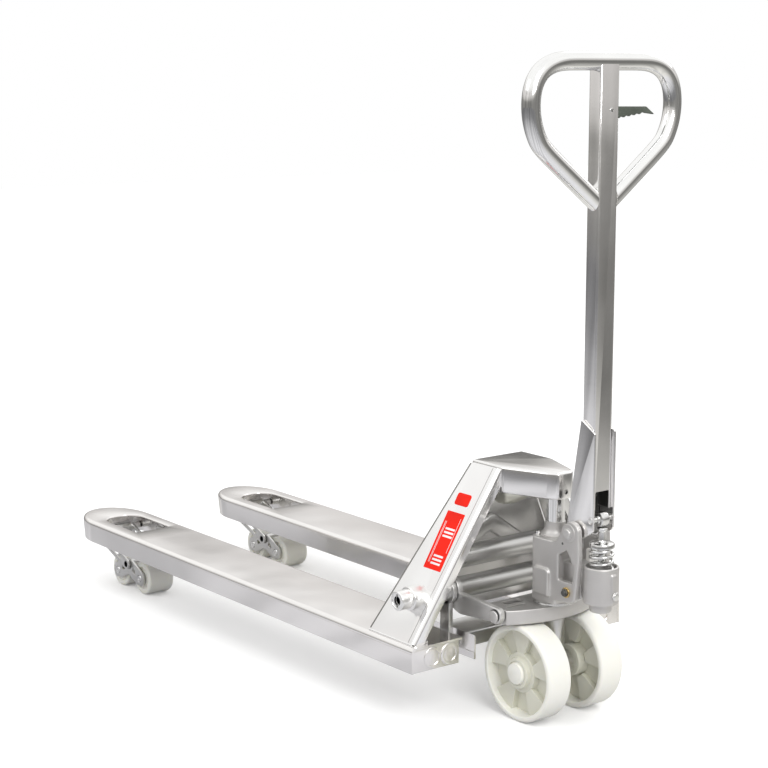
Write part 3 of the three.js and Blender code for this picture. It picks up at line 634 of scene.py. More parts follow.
# ---------------------------------------------------------------- forks
FORK = cad("left_fork")
FORK_Y = FORK.cy
FORK_HALF = (FORK.y1 - FORK.y0) / 2
TOP, FORK_LOW = FORK.z1, FORK.z0
WALL = 4
NOSE = 110  # length of the rounded nose
SHOULDER = 8.8  # radius between the top and the side wall
RAKE = 26  # how far the nose's lower edge is set back
HOLE_FRONT, HOLE_REAR, HOLE_HALF = -672, -512, 44
HOLE_EASE = 2.4  # radius of the hole's upper rim
ROD_Z = 120  # height of the push rods


def fork_edge():
    """(point, outward normal) round one fork from the heel, about its own centre line."""
    start = FORK.x0 + NOSE
    stations = [((FORK.x1 - (FORK.x1 - start) * i / 16, -FORK_HALF), (0, -1)) for i in range(16)]
    for i in range(41):
        angle = math.radians(-90 - 180 * i / 40)
        c, s = math.cos(angle), math.sin(angle)
        normal = Vector((c / NOSE, s / FORK_HALF)).normalized()
        stations.append(((start + NOSE * c, FORK_HALF * s), tuple(normal)))
    stations += [((x, -y), (0, 1)) for (x, y), _ in reversed(stations[:16])]
    return stations


def fork_outer_profile():
    """(inset, z) up the outside: side wall, a fine seam, then the rounded shoulder."""
    seam = TOP - SHOULDER - 0.6
    profile = [(0.8, FORK_LOW), (0, FORK_LOW + 0.8), (0, seam - 1.6), (0.9, seam - 1.2),
               (0.9, seam - 0.3), (0, seam)]
    for i in range(9):
        angle = math.radians(90 * i / 8)
        profile.append((SHOULDER - SHOULDER * math.cos(angle),
                        TOP - SHOULDER + SHOULDER * math.sin(angle)))
    return profile


def fork_inner_profile():
    return [(WALL, FORK_LOW), (WALL, TOP - SHOULDER), (SHOULDER, TOP - WALL)]


def tip_hole(grow, z):
    """Plan of the hole in the fork's tip: straight behind, rounded in front."""
    front, rear, half = HOLE_FRONT - grow, HOLE_REAR + grow, HOLE_HALF + grow
    outline = rounded([(rear, -half, 6 + grow), (rear, half, 6 + grow),
                       (front + 22, half, 40), (front, half - 26, 30),
                       (front, -half + 26, 30), (front + 22, -half, 40)], steps=8)
    return [Vector((x, y, z)) for x, y in outline]


def make_fork():
    work = bmesh.new()

    def loop(inset, z):
        ring = []
        for (x, y), (nx, ny) in fork_edge():
            rake = RAKE * max(0.0, -nx) ** 1.5 * max(0.0, TOP - SHOULDER - z) / (TOP - FORK_LOW)
            ring.append(work.verts.new((x - nx * inset + rake, y - ny * inset, z)))
        return ring

    def skin(rings, closed=False):
        for a, b in zip(rings, rings[1:]):
            bridge(work, a, b, closed)

    def edges_of(ring):
        return [work.edges.get(pair) or work.edges.new(pair) for pair in zip(ring,
                                                                             ring[1:] + ring[:1])]

    outer = [loop(*station) for station in fork_outer_profile()]
    inner = [loop(*station) for station in fork_inner_profile()]
    skin(outer)
    skin(inner)
    rim = [[work.verts.new(p) for p in
            tip_hole(HOLE_EASE * (1 - math.sin(a)), TOP - HOLE_EASE * (1 - math.cos(a)))]
           for a in (0, math.pi / 6, math.pi / 3, math.pi / 2)]
    rim.append([work.verts.new(p) for p in tip_hole(0, TOP - WALL)])
    skin(rim, True)
    work.edges.index_update()
    for top, hole in ((outer[-1], rim[0]), (inner[-1], rim[-1])):
        bmesh.ops.triangle_fill(work, edges=edges_of(top) + edges_of(hole), use_beauty=True)
    skin([outer[0], inner[0]])
    heel, heel_inside = ([ring[0] for ring in rings] + [ring[-1] for ring in rings][::-1]
                         for rings in (outer, inner))
    bmesh.ops.triangle_fill(work, edges=edges_of(heel + heel_inside[::-1]), use_beauty=True)
    fork = solid("fork", work, FORK_STEEL, Matrix.Translation((0, FORK_Y, 0)))
    lug = cad("left_lug")
    slot = plate("slot", "XY", box_outline(SHAFT_X - 62, FORK.x1 + 20, lug.y0 - 5, lug.y1 + 5),
                 FORK_LOW + 13, TOP + 20, FORK_STEEL)
    fork = cut(fork, slot)
    inner = lug.y0 - 12
    heel = plate("heel", "YZ", [(FORK.y0 + WALL - 0.5, FORK_LOW + 0.6), (inner, FORK_LOW + 0.6),
                                (inner, TOP - WALL), (FORK.y0 + SHOULDER, TOP - WALL),
                                (FORK.y0 + WALL - 0.5, TOP - SHOULDER)],
                 FORK.x1 - 5, FORK.x1 - 0.4, FORK_STEEL)
    rounds = [rod("round", "X", (0, y, 121), radius, FORK.x1 - 3, FORK.x1 + proud, FORK_STEEL, edge,
                  bore)
              for y, radius, proud, edge, bore in
              ((-172, 21, 1.6, 1.4, 14), (-172, 15.5, 0.6, 0.8, 0), (-212, 20, 0.9, 1.2, 15))]
    return gathered("fork", fork, heel, *rounds)


SHAFT = cad("torsion_shaft")
SHAFT_X, SHAFT_Z = SHAFT.cx, SHAFT.cz
SHAFT_AT = (SHAFT_X, 0, SHAFT_Z)
place_pair(make_fork(), "fork_shell", "chassis", "polished_steel", "SIDE_fork")


# ---------------------------------------------------------------- legs, panel, head
LEG_FOOT_Y, LEG_HEAD_Y = -248, -62
LEG_TOP = cad("head_plate").z1
LEG_RISE = LEG_TOP - TOP
LEG_SPAN = LEG_HEAD_Y - LEG_FOOT_Y
LEG_LENGTH = math.hypot(LEG_SPAN, LEG_RISE)
FOOT_FRONT, FOOT_REAR, HEAD_FRONT, HEAD_REAR = 377, 511, 450, 532


def on_leg(thing):
    """Moves a plate drawn flat (x, distance up the slope, height outwards) to the left leg."""
    tilt = Matrix.Rotation(math.atan2(LEG_RISE, LEG_SPAN), 4, "X")
    foot = Matrix.Translation((0, LEG_FOOT_Y * MM, (TOP + 0.3) * MM))
    thing.data.transform(foot @ tilt)
    return thing


def leg_front(z):
    return FOOT_FRONT + (HEAD_FRONT - FOOT_FRONT) * (z - TOP) / LEG_RISE


def leg_section(front, rear):
    """(x, height) round a leg: rolled front edge, raised strip, and rear edge bent to a flange."""
    bend, raised, flange = 7, 1.5, 19
    outer = [(front + 4.6 - 4.6 * math.cos(a), -4.6 + 4.6 * math.sin(a))
             for a in (math.radians(d) for d in range(0, 91, 15))]
    outer += [(rear - 19.5, 0), (rear - 18.5, 0.3), (rear - 17.5, raised - 0.3),
              (rear - 16.5, raised)]
    outer += [(rear - bend + bend * math.sin(a), raised - bend + bend * math.cos(a))
              for a in (math.radians(d) for d in range(0, 91, 10))]
    inner = [(rear, -flange), (rear - 3.5, -flange), (rear - 3.5, -bend), (rear - 5, -5)]
    return outer + inner + [(front + 1, -5)]


def make_leg():
    low, high = 2, LEG_LENGTH - 6
    rear_lean = (HEAD_REAR - FOOT_REAR) / LEG_LENGTH
    front_lean = (HEAD_FRONT - FOOT_FRONT) / LEG_LENGTH
    work = bmesh.new()
    rings = [[work.verts.new((x, v, height)) for x, height in
              leg_section(FOOT_FRONT + front_lean * v, FOOT_REAR + rear_lean * v)] for v in (low,
                                                                                             high)]
    bridge(work, *rings)
    for ring in rings:
        work.faces.new(ring)
    web = on_leg(solid("web", work, LEG_STEEL))
    web = cut(web, rod("hole", "Y", SHAFT_AT, 17.5, -260, -150, LEG_STEEL))
    foot = plate("foot", "XY", box_outline(FOOT_FRONT + 1, FOOT_REAR - 1, LEG_FOOT_Y + 3,
                                           LEG_FOOT_Y + 34, 2), TOP + 0.3, TOP + 5.3, LEG_STEEL)
    bead = swept("bead", [(FOOT_FRONT + 4 + (FOOT_REAR - FOOT_FRONT - 8) * i / 60,
                           LEG_FOOT_Y - 1.0 + 0.25 * math.sin(i * 1.9), TOP + 1.2)
                          for i in range(61)], 2.2, LEG_STEEL, 12)
    return gathered("leg", web, foot, bead)


def make_leg_shade_lines():
    """Painted shade: a dark strip along the rolled front edge and one by the pressed strip,
    standing for the shade at these edges.
    """
    lines = []
    for offset, width, foot_x, head_x in ((0.4, 2.6, FOOT_FRONT, HEAD_FRONT),
                                          (-19.4, 2.4, FOOT_REAR, HEAD_REAR)):
        low, high = 4, LEG_LENGTH - 8
        x_low = foot_x + (head_x - foot_x) * low / LEG_LENGTH + offset
        x_high = foot_x + (head_x - foot_x) * high / LEG_LENGTH + offset
        lines.append(on_leg(plate("seam", "XY", [(x_low, low), (x_low + width, low),
                                                 (x_high + width, high),
                                                 (x_high, high)], -0.6, 0.35, EDGE_SHADE_STEEL, edge=0.1)))
    return gathered("leg_shade_lines", *lines)


place_pair(make_leg(), "leg_plate", "chassis", "polished_steel", "SIDE_leg")
place_pair(make_leg_shade_lines(), "leg_shade_lines", "chassis", "satin_steel")


def make_label():
    """A plain red label with blank white bars, and a plain red patch above it."""
    sheet = box_outline(446, 494, 142, 256, 1.5)
    patch = box_outline(453, 491, 270, 294, 5)
    red = [on_leg(plate("red", "XY", outline, 0.05, 0.35, LABEL_RED, edge=0.1))
           for outline in (sheet, patch)]
    bars = [box_outline(460, 486, v + 7.4 * i, v + 7.4 * i + 3.8, 0.6)
            for v in (152, 206) for i in range(3)]
    bars += [box_outline(u, u + 0.9, low, high)
             for u, low, high in ((452, 154, 236), (454.6, 154, 236), (488.4, 178, 246))]
    blank = [on_leg(plate("bar", "XY", bar, 0.3, 0.5, LABEL_WHITE, edge=0.05)) for bar in bars]
    return gathered("label_red", *red), gathered("label_bars", *blank)


for label_piece in make_label():
    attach(label_piece, "chassis")


def make_bush():
    """A slotted cap screw in its round boss, on the end of the torsion shaft."""
    bush = cad("left_shaft_bush")
    body = rod("body", "Y", SHAFT_AT, 18, bush.y0, bush.y0 + 30, SHEEN, edge=2.2, bore=9)
    well = rod("well", "Y", SHAFT_AT, 14.2, bush.y0 - 5, bush.y0 + 1.4, SHEEN, edge=0.3)
    slit = plate("slit", "XY", box_outline(SHAFT_X - 2.4, SHAFT_X + 2.4, bush.y0 - 5, bush.y0 + 8),
                 SHAFT_Z - 13, SHAFT_Z + 13, SHEEN)
    cross = rod("cross", "X", (0, bush.y0 + 15, SHAFT_Z + 5), 2.4, SHAFT_X - 30, SHAFT_X + 30,
                SHEEN)
    # painted shade: a dark rod deep in the screw's bore, where the bore's inside is in shade
    bore_shade = rod("bore_shade", "Y", SHAFT_AT, 9.5, bush.y0 + 6, bush.y0 + 26, DARK_STEEL)
    boss = rod("boss", "Y", SHAFT_AT, 22.5, bush.y0 + 25, bush.y1 + 4, SHEEN, edge=3, bore=11.4)
    return gathered("bush", cut(body, well, slit, cross), boss, bore_shade)


place_pair(make_bush(), "shaft_bush_detailed", "chassis", "satin_steel", "SIDE_shaft_bush")


def make_panel():
    """The bulkhead between the legs."""
    panel = cad("bulkhead_panel")
    rows, thick = 24, 4
    work = bmesh.new()
    layers = []
    for depth in (0, thick):
        grid = []
        for i in range(rows + 1):
            z = panel.z0 + (panel.z1 - panel.z0) * i / rows
            half = -(LEG_FOOT_Y + LEG_SPAN * (z - TOP) / LEG_RISE) - 6.5
            x = leg_front(z) + 4 + depth
            grid.append([work.verts.new((x, half * t, z)) for t in (-1, -0.5, 0, 0.5, 1)])
        layers.append(grid)
    sheet_between(work, *layers)
    return soften(solid("bulkhead_sheet", work, CALM_STEEL), 1.2)


def make_brace():
    """A roof-shaped rib pressed from sheet: a flat crown between two rolled edges."""
    box = cad("brace_rib")
    half, peak, tall, drop = 108, box.z1, 37, 69

    def rail(offset_z, depth, radius):
        path = []
        for t in [i / 24 - 1 for i in range(49)]:
            bend = abs(t) if abs(t) > 0.06 else 0.03 + t * t / 0.12
            z = peak - drop * bend - offset_z
            path.append((leg_front(z) + 8.3 + depth, half * t, z))
        return swept("rail", path, radius, CALM_STEEL, 16)

    crown = plate("crown", "YZ", [(-half, peak - drop - tall + 4), (0, peak - tall + 4),
                                  (half, peak - drop - tall + 4), (half, peak - drop - 4),
                                  (0, peak - 4), (-half, peak - drop - 4)], 0, 4, CALM_STEEL)
    shear = Matrix.Identity(4)
    shear[0][2] = (HEAD_FRONT - FOOT_FRONT) / LEG_RISE
    crown.data.transform(Matrix.Translation((0, 0, -TOP * MM)))
    crown.data.transform(shear)
    crown.data.transform(Matrix.Translation(((FOOT_FRONT + 8.3 + 5) * MM, 0, TOP * MM)))
    return gathered("brace_rib_pressed", crown, rail(4.5, 4.6, 4.4), rail(tall - 4.5, 4.6, 4.4))


place(make_panel(), "chassis", "polished_steel", "bulkhead_panel")
place(make_brace(), "chassis", "polished_steel", "brace_rib")


HEAD = cad("head_plate")
WAIST, HEAD_HALF, NOSE_HALF = 532, 62, 29
SKIRT = 50
RAM = cad("ram")
STEER_X = RAM.cx
STEER_AT = (STEER_X, 0, 0)
WHEEL_R = 90
WHEEL_AT = (STEER_X, 0, WHEEL_R)


def head_outline(inset):
    half, nose_half = HEAD_HALF - inset, NOSE_HALF - inset
    nose, front = HEAD.x1 - inset, HEAD.x0 + inset
    right = [(nose, nose_half * 0.6, 12), (nose - 20 + inset, nose_half, 14), (WAIST, half, 36),
             (front, half, 4)]
    left = [(x, -y, r) for x, y, r in right]
    return rounded(left[::-1] + right, steps=8)


def make_head():
    bottom = HEAD.z1 - SKIRT
    cap = plate("head_cap", "XY", head_outline(0), bottom, HEAD.z1, MIRROR, edge=4.2)
    room = plate("room", "XY", head_outline(4.5), bottom - 10, HEAD.z1 - 5, MIRROR, edge=0.1)
    under = plate("under", "XZ", rounded([
        (HEAD.x0 - 20, bottom - 20), (WAIST - 6, bottom - 20), (WAIST - 18, bottom + 6, 10),
        (WAIST - 30, bottom + 34, 12), (HEAD.x0 - 20, bottom + 42)]), -80, 80, MIRROR)
    hole = rod("hole", "X", (0, 0, HEAD.z1 - 36), 4.6, HEAD.x1 - 20, HEAD.x1 + 10, MIRROR)
    return cut(cap, room, under, hole)


def make_head_gusset():
    """The curved sheet under the head that turns in below its skirt, drawn on the left side."""
    work = bmesh.new()
    rows, columns = 10, 18
    narrowing = (HEAD_HALF - NOSE_HALF) / 83
    layers = []
    for depth in (0, 2.5):
        grid = []
        for i in range(rows + 1):
            turn = 0.5 * math.pi * (i / rows)
            row = []
            for k in range(columns + 1):
                s = k / columns
                x = 500 + 76 * s
                skirt_y = HEAD_HALF - 4.8 - narrowing * max(0, x - WAIST)
                deep = 38 * math.cos(0.5 * math.pi * s) ** 0.8 + 2
                y = -(skirt_y - depth - (skirt_y - 24) * 0.62 * (1 - math.cos(turn)))
                z = HEAD.z1 - SKIRT + 5 - deep * math.sin(turn) * 0.8 + (depth if i else 0) * 0.3
                row.append(work.verts.new((x, y, z)))
            grid.append(row)
        layers.append(grid)
    sheet_between(work, *layers)
    # painted shade: the gusset takes the darker olive copy of the polished sheet
    return solid("gusset", work, SHADED_WARM_STEEL)


place(make_head(), "chassis", "polished_steel", "head_plate")
place_pair(make_head_gusset(), "head_gusset", "chassis", "polished_steel")


def trim_to_legs(thing, gap=5.3):
    """Cuts off what reaches past the legs' inner faces."""
    work = bmesh.new()
    work.from_mesh(thing.data)
    for side in (-1, 1):
        outward = Vector((0, side * LEG_RISE, LEG_SPAN)).normalized()
        foot = Vector((0, side * -LEG_FOOT_Y, TOP + 0.3)) - outward * gap
        everything = work.verts[:] + work.edges[:] + work.faces[:]
        sliced = bmesh.ops.bisect_plane(work, geom=everything, plane_co=foot * MM, plane_no=outward,
                                        clear_outer=True)
        rim = [item for item in sliced["geom_cut"] if isinstance(item, bmesh.types.BMEdge)]
        bmesh.ops.triangle_fill(work, edges=rim, use_beauty=True)
    work.to_mesh(thing.data)
    work.free()
    return reshade(thing)


def make_cross_tube():
    box = cad("cross_tube")
    radius = (box.x1 - box.x0) / 2
    tube = rod("cross_tube_cut", "Y", (box.cx, 0, box.cz), radius, box.y0 - 20, box.y1 + 20, SATIN,
               bore=radius - 3)
    return trim_to_legs(tube)


def make_shelf():
    box = cad("cross_member")
    outline = rounded([(box.x0, box.z1 - 6), (box.x1 - 6, box.z1 - 6, 2), (box.x1 - 6, box.z0),
                       (box.x1, box.z0), (box.x1, box.z1, 7), (box.x0, box.z1)])
    return plate("cross_member_folded", "XZ", outline, box.y0, box.y1, SATIN, edge=0.6)


place(make_cross_tube(), "chassis", "satin_steel", "cross_tube")
place(make_shelf(), "chassis", "satin_steel", "cross_member")


def cad_pin(name, node, axis, material, edge=1.0, radius=None):
    """A round pin along a CAD node's box, across the truck (Y) or along it (X)."""
    box = cad(node)
    centre, lo, hi, width = (((box.cx, 0, box.cz), box.y0, box.y1, box.x1 - box.x0) if axis == "Y"
                             else ((0, box.cy, box.cz), box.x0, box.x1, box.y1 - box.y0))
    return rod(name, axis, centre, radius or width / 2, lo, hi, material, edge=edge)


place_pair(cad_pin("pin", "left_frame_pin", "Y", SATIN), "frame_pin_turned", "chassis",
           "satin_steel", "SIDE_frame_pin")


# ---------------------------------------------------------------- rocker, push rods
ARM_X, ARM_Z = 590, 199
ARM_AT = (ARM_X, 0, ARM_Z)


def make_torsion_shaft():
    r, end = 20, SHAFT.y1
    half = [(0, -end), (11, -end), (11, -end + 1.2), (11, -184), (11, -181), (r - 1.5, -180),
            (r, -178.5)]
    profile = half + [(radius, -along) for radius, along in reversed(half)]
    return turned("torsion_shaft_turned", "Y", SHAFT_AT, profile, SATIN)


def make_arm():
    """A flat forged bar, deep at the shaft and slimmer at the pin."""
    arm = cad("left_lift_arm")
    outline = rounded([(437, 221, 4), (530, 218, 40), (598, 214, 8), (605, 208, 10), (604, 190, 12),
                       (572, 186, 30), (486, 179, 40), (463, 193, 27), (437, 200, 20)], steps=10)
    bar = plate("arm", "XZ", outline, arm.y0, arm.y1, ARM_STEEL, edge=1.8,
                holes=[circle(ARM_X, ARM_Z, 7.2)])
    boss = round_boss("boss", "Y", ARM_AT, 14.5, (arm.y0, arm.y1), 1.2, 7.2, ARM_STEEL)
    hub = round_boss("hub", "Y", SHAFT_AT, 26, (arm.y0, arm.y1), 1.6, 20.2, ARM_STEEL)
    shaft_hole = rod("shaft_hole", "Y", SHAFT_AT, 20.2, arm.y0 - 9, arm.y1 + 9, ARM_STEEL)
    return gathered("arm", cut(bar, shaft_hole), boss, hub)


def make_arm_pin():
    pin = cad("left_arm_pin")
    r = (pin.x1 - pin.x0) / 2
    head = rod("head", "Y", ARM_AT, r, pin.y0, pin.y0 + 4.6, ARM_STEEL, edge=1.2)
    shank = rod("shank", "Y", ARM_AT, 7, pin.y0 + 3, pin.y1, ARM_STEEL)
    return gathered("pin", head, shank)


def make_lug():
    lug = cad("left_lug")
    y0, y1 = lug.y0, lug.y0 + 10
    z = ROD_Z
    outline = rounded([(SHAFT_X - 13, SHAFT_Z + 4, 4), (SHAFT_X - 13, z - 13, 12.9),
                       (SHAFT_X + 13, z - 13, 12.9),
                       (SHAFT_X + 13, SHAFT_Z + 4, 4)], steps=12)
    bar = plate("lug", "XZ", outline, y0, y1, SATIN, edge=1.2, holes=[circle(SHAFT_X, SHAFT_Z, 12)])
    hub = round_boss("hub", "Y", SHAFT_AT, 26, (y0, y1), 1.4, 20.2, SATIN)
    pin = rod("pin", "Y", (SHAFT_X, 0, z), 6, y0 - 1.5, lug.y1, SATIN)
    return gathered("lug", bar, hub, pin)


def make_push_rod():
    rod_box = cad("left_push_rod")
    z, half = ROD_Z, 8
    outline = (arc(SHAFT_X, z, 9.5, -57, 57, 16) + [(SHAFT_X - 6, z + half)]
               + arc(rod_box.x0 + half, z, half, 90, 270, 16) + [(SHAFT_X - 6, z - half)])
    return plate("push_rod", "XZ", outline, rod_box.y0, rod_box.y1, SATIN, edge=1.6,
                 holes=[circle(SHAFT_X, z, 6.3), circle(rod_box.x0 + half, z, 3.4)])


place(make_torsion_shaft(), "rocker", "satin_steel", "torsion_shaft")
place_pair(make_arm(), "lift_arm_forged", "rocker", "satin_steel", "SIDE_lift_arm")
place_pair(make_arm_pin(), "arm_pin_headed", "rocker", "satin_steel", "SIDE_arm_pin")
place_pair(make_lug(), "lug_forged", "rocker", "satin_steel", "SIDE_lug")
place_pair(make_push_rod(), "push_rod_flat", "SIDE_rod", "satin_steel", "SIDE_push_rod")


# ---------------------------------------------------------------- load rollers and their frames
FRAME_PIN = cad("left_frame_pin")
FRAME_X, FRAME_Z = FRAME_PIN.cx, FRAME_PIN.cz
BOGIE_X, BOGIE_Z = -560, 62
FRAME_AT, BOGIE_AT = (FRAME_X, 0, FRAME_Z), (BOGIE_X, 0, BOGIE_Z)
AXLE_BORE = 8.3
ROLLER = cad("left_front_roller")
ROLLER_R = ROLLER.z1 / 2
PITCH = 96


def make_wheel_frame():
    frame_box = cad("left_wheel_frame")
    length = math.hypot(BOGIE_X - FRAME_X, BOGIE_Z - FRAME_Z)
    tilt = Matrix.Rotation(math.atan2(FRAME_Z - BOGIE_Z, BOGIE_X - FRAME_X), 4, "Y")
    outline = rounded([(-14, -14, 13.9), (length + 12, -12, 11.9), (length + 12, 12, 11.9),
                       (-14, 14, 13.9)], steps=12)
    window = rounded([(22, -5, 4.5), (length - 26, -5, 4.5), (length - 26, 5, 4.5), (22, 5, 4.5)])
    parts = []
    for y0 in (frame_box.y0, frame_box.y1 - 5):
        side = plate("side", "XZ", outline, y0, y0 + 5, SATIN, edge=1.1,
                     holes=[circle(0, 0, AXLE_BORE), window])
        side.data.transform(Matrix.Translation((FRAME_X * MM, 0, FRAME_Z * MM)) @ tilt)
        parts.append(side)
    y0, y1 = frame_box.y0 + 2, frame_box.y1 - 2
    parts.append(rod("hub", "Y", FRAME_AT, 13, y0, y1, SATIN, bore=AXLE_BORE))
    parts.append(rod("pin", "Y", BOGIE_AT, 8, frame_box.y0, frame_box.y1, SATIN))
    return gathered("wheel_frame", *parts)


def bogie_side(y0):
    front, rear = BOGIE_X - PITCH / 2, BOGIE_X + PITCH / 2
    outline = rounded([
        (front - 17, ROLLER_R - 17, 16.9), (front + 15, ROLLER_R - 15, 13), (BOGIE_X - 5, 36, 7),
        (BOGIE_X + 5, 36, 7), (rear - 15, ROLLER_R - 15, 13), (rear + 17, ROLLER_R - 17, 16.9),
        (rear + 17, ROLLER_R + 13, 14), (BOGIE_X + 13, 73, 12), (BOGIE_X - 13, 73, 12),
        (front - 17, ROLLER_R + 13, 14)], steps=8)
    lightening = [rounded([(BOGIE_X + s * 16, 47), (BOGIE_X + s * 31, 41), (BOGIE_X + s * 29, 51),
                           (BOGIE_X + s * 19, 58)], 2.5) for s in (-1, 1)]
    return plate("side", "XZ", outline, y0, y0 + 5, SATIN, edge=1.1, holes=[
        circle(front, ROLLER_R, AXLE_BORE), circle(rear, ROLLER_R, AXLE_BORE),
                                                                            circle(BOGIE_X, BOGIE_Z,
                                                                                   AXLE_BORE),
        *lightening])


def make_bogie():
    bogie = cad("left_bogie")
    sides = [bogie_side(bogie.y0), bogie_side(bogie.y1 - 5)]
    bush = rod("bush", "Y", BOGIE_AT, 10.2, bogie.y0, bogie.y1, SATIN, bore=AXLE_BORE)
    return gathered("bogie", *sides, bush)


def make_roller(end):
    """A nylon load roller: crowned tread with eased rims, and a recessed bearing each side."""
    roller = cad(f"left_{end}_roller")
    centre, half = (roller.cx, roller.cy, roller.cz), (roller.y1 - roller.y0) / 2
    r = ROLLER_R
    side = [(AXLE_BORE, -half + 3), (11, -half + 3), (11, -half + 1), (18, -half + 1),
            (18, -half + 3.5),
            (23, -half + 3.5), (24, -half + 1.5), (25, -half), (r - 4, -half)]
    side += [(r - 4 + 4 * math.sin(math.radians(a)), -half + 4 - 4 * math.cos(math.radians(a)))
             for a in (22, 45, 67, 90)]
    profile = side + [(rr, -y) for rr, y in reversed(side)]
    return turned("roller", "Y", centre, profile, NYLON)


def make_roller_axle(end):
    axle = cad(f"left_{end}_roller_axle")
    centre = (axle.cx, 0, axle.cz)
    r = (axle.x1 - axle.x0) / 2
    profile = [(0, axle.y0 + 1.2), (3, axle.y0 + 1.2), (3.8, axle.y0), (r - 1, axle.y0),
               (r, axle.y0 + 1),
               (r, axle.y1 - 1), (r - 1, axle.y1), (3.8, axle.y1), (3, axle.y1 - 1.2),
               (0, axle.y1 - 1.2)]
    return turned("axle", "Y", centre, profile, BRIGHT, 48)


place_pair(make_wheel_frame(), "wheel_frame_pressed", "SIDE_frame", "satin_steel",
           "SIDE_wheel_frame")
place_pair(make_bogie(), "bogie_pressed", "SIDE_truck", "satin_steel", "SIDE_bogie")
for roller_end in ("front", "rear"):
    place_pair(make_roller(roller_end), f"{roller_end}_roller_moulded",
               f"SIDE_{roller_end}_load_roller", "nylon", f"SIDE_{roller_end}_roller")
    place_pair(make_roller_axle(roller_end), f"{roller_end}_roller_axle_turned", "SIDE_truck",
               "satin_steel", f"SIDE_{roller_end}_roller_axle")


# ---------------------------------------------------------------- thrust plate
PLATE = cad("thrust_plate")
PLATE_CORNER, PLATE_REAR = 606, 639


def thrust_outline(inset):
    half, front = PLATE.y1 - inset, PLATE.x0 + inset
    bulge = PLATE_REAR + (PLATE_REAR - PLATE_CORNER) * 0.9 - inset
    curve = bezier((PLATE_CORNER, -half), (bulge, 0), (PLATE_CORNER, half), 28)
    return rounded([(front, -half, 3), (PLATE_CORNER - 12, -half), *curve,
                    (PLATE_CORNER - 12, half), (front, half, 3)])


def make_thrust_plate():
    slots = [box_outline(PLATE.x0 + 12, PLATE.x0 + 30, *ends, 6) for ends in ((-84, -40), (40, 84))]
    slots += [box_outline(PLATE.x0 + 40, PLATE.x0 + 47, *ends, 3.4) for ends in ((-96, -52),
                                                                                 (52, 96))]
    hole = circle(STEER_X, 0, 22.5)
    top = plate("thrust_plate_top", "XY", thrust_outline(1.6), PLATE.z1 - 5, PLATE.z1, CAST_TOP,
                edge=0.8,
                holes=[*slots, hole])
    skirt = plate("skirt", "XY", thrust_outline(0), PLATE.z0, PLATE.z1 - 0.3, CAST, edge=1.8,
                  holes=[thrust_outline(5)])
    bosses = []
    for s in (-1, 1):
        y0, y1 = sorted((s * (PLATE.y1 - 9), s * PLATE.y1))
        bosses.append(round_boss("boss", "Y", ARM_AT, 10.5, (y0, y1), 1, 7.3, CAST))
    return gathered("thrust_plate_pressed", skirt, *bosses), top


def make_thrust_bearing():
    box = cad("thrust_bearing")
    lo, hi = box.z0, box.z1
    r = box.x1 - box.cx
    profile = [(22.6, lo), (r - 0.6, lo), (r, lo + 0.5), (r, lo + 1.4), (r - 1.2, lo + 1.5),
               (r - 1.2, hi - 1.5), (r - 2, hi - 1.4), (r - 2, hi - 0.5), (r - 2.6, hi), (22.6, hi)]
    return turned("thrust_bearing_races", "Z", STEER_AT, profile, BRIGHT)


thrust_plate, thrust_top = make_thrust_plate()
place(thrust_plate, "carriage", "cast_metal", "thrust_plate")
place(thrust_top, "carriage", "cast_metal")
place(make_thrust_bearing(), "carriage", "satin_steel", "thrust_bearing")


# ---------------------------------------------------------------- pump unit
PUMP_FRONT, PUMP_REAR, PUMP_HALF, PUMP_LOW, PUMP_TOP = 582, 654, 40, 214.6, 336
PIVOT = cad("handle_pin")
PIVOT_X, PIVOT_Z = PIVOT.cx, PIVOT.cz
PIVOT_AT = (PIVOT_X, 0, PIVOT_Z)
CUP_X, CUP_R, CUP_LOW, CUP_TOP, WELL_R, WELL_FLOOR = 730, 32, 235, 303, 27, 254.5
CAP_LOW, CAP_TOP = 336, 346  # the plunger's cap, over its spring
RAM_R = 17


def ear_outline():
    boss_x, boss_z = PIVOT_X + 6, PIVOT_Z + 3
    return rounded([
        (630, PUMP_TOP - 20, 2), (644, PUMP_TOP, 3), (655, PUMP_TOP + 3, 3),
                    (boss_x - 16, boss_z + 12, 5),
        *arc(boss_x, boss_z, 19, 140, -8, 14), (713, 318, 20), (708, 262, 20), (702, 232, 12),
                    (646, 226, 6),
        (630, 240, 2)])


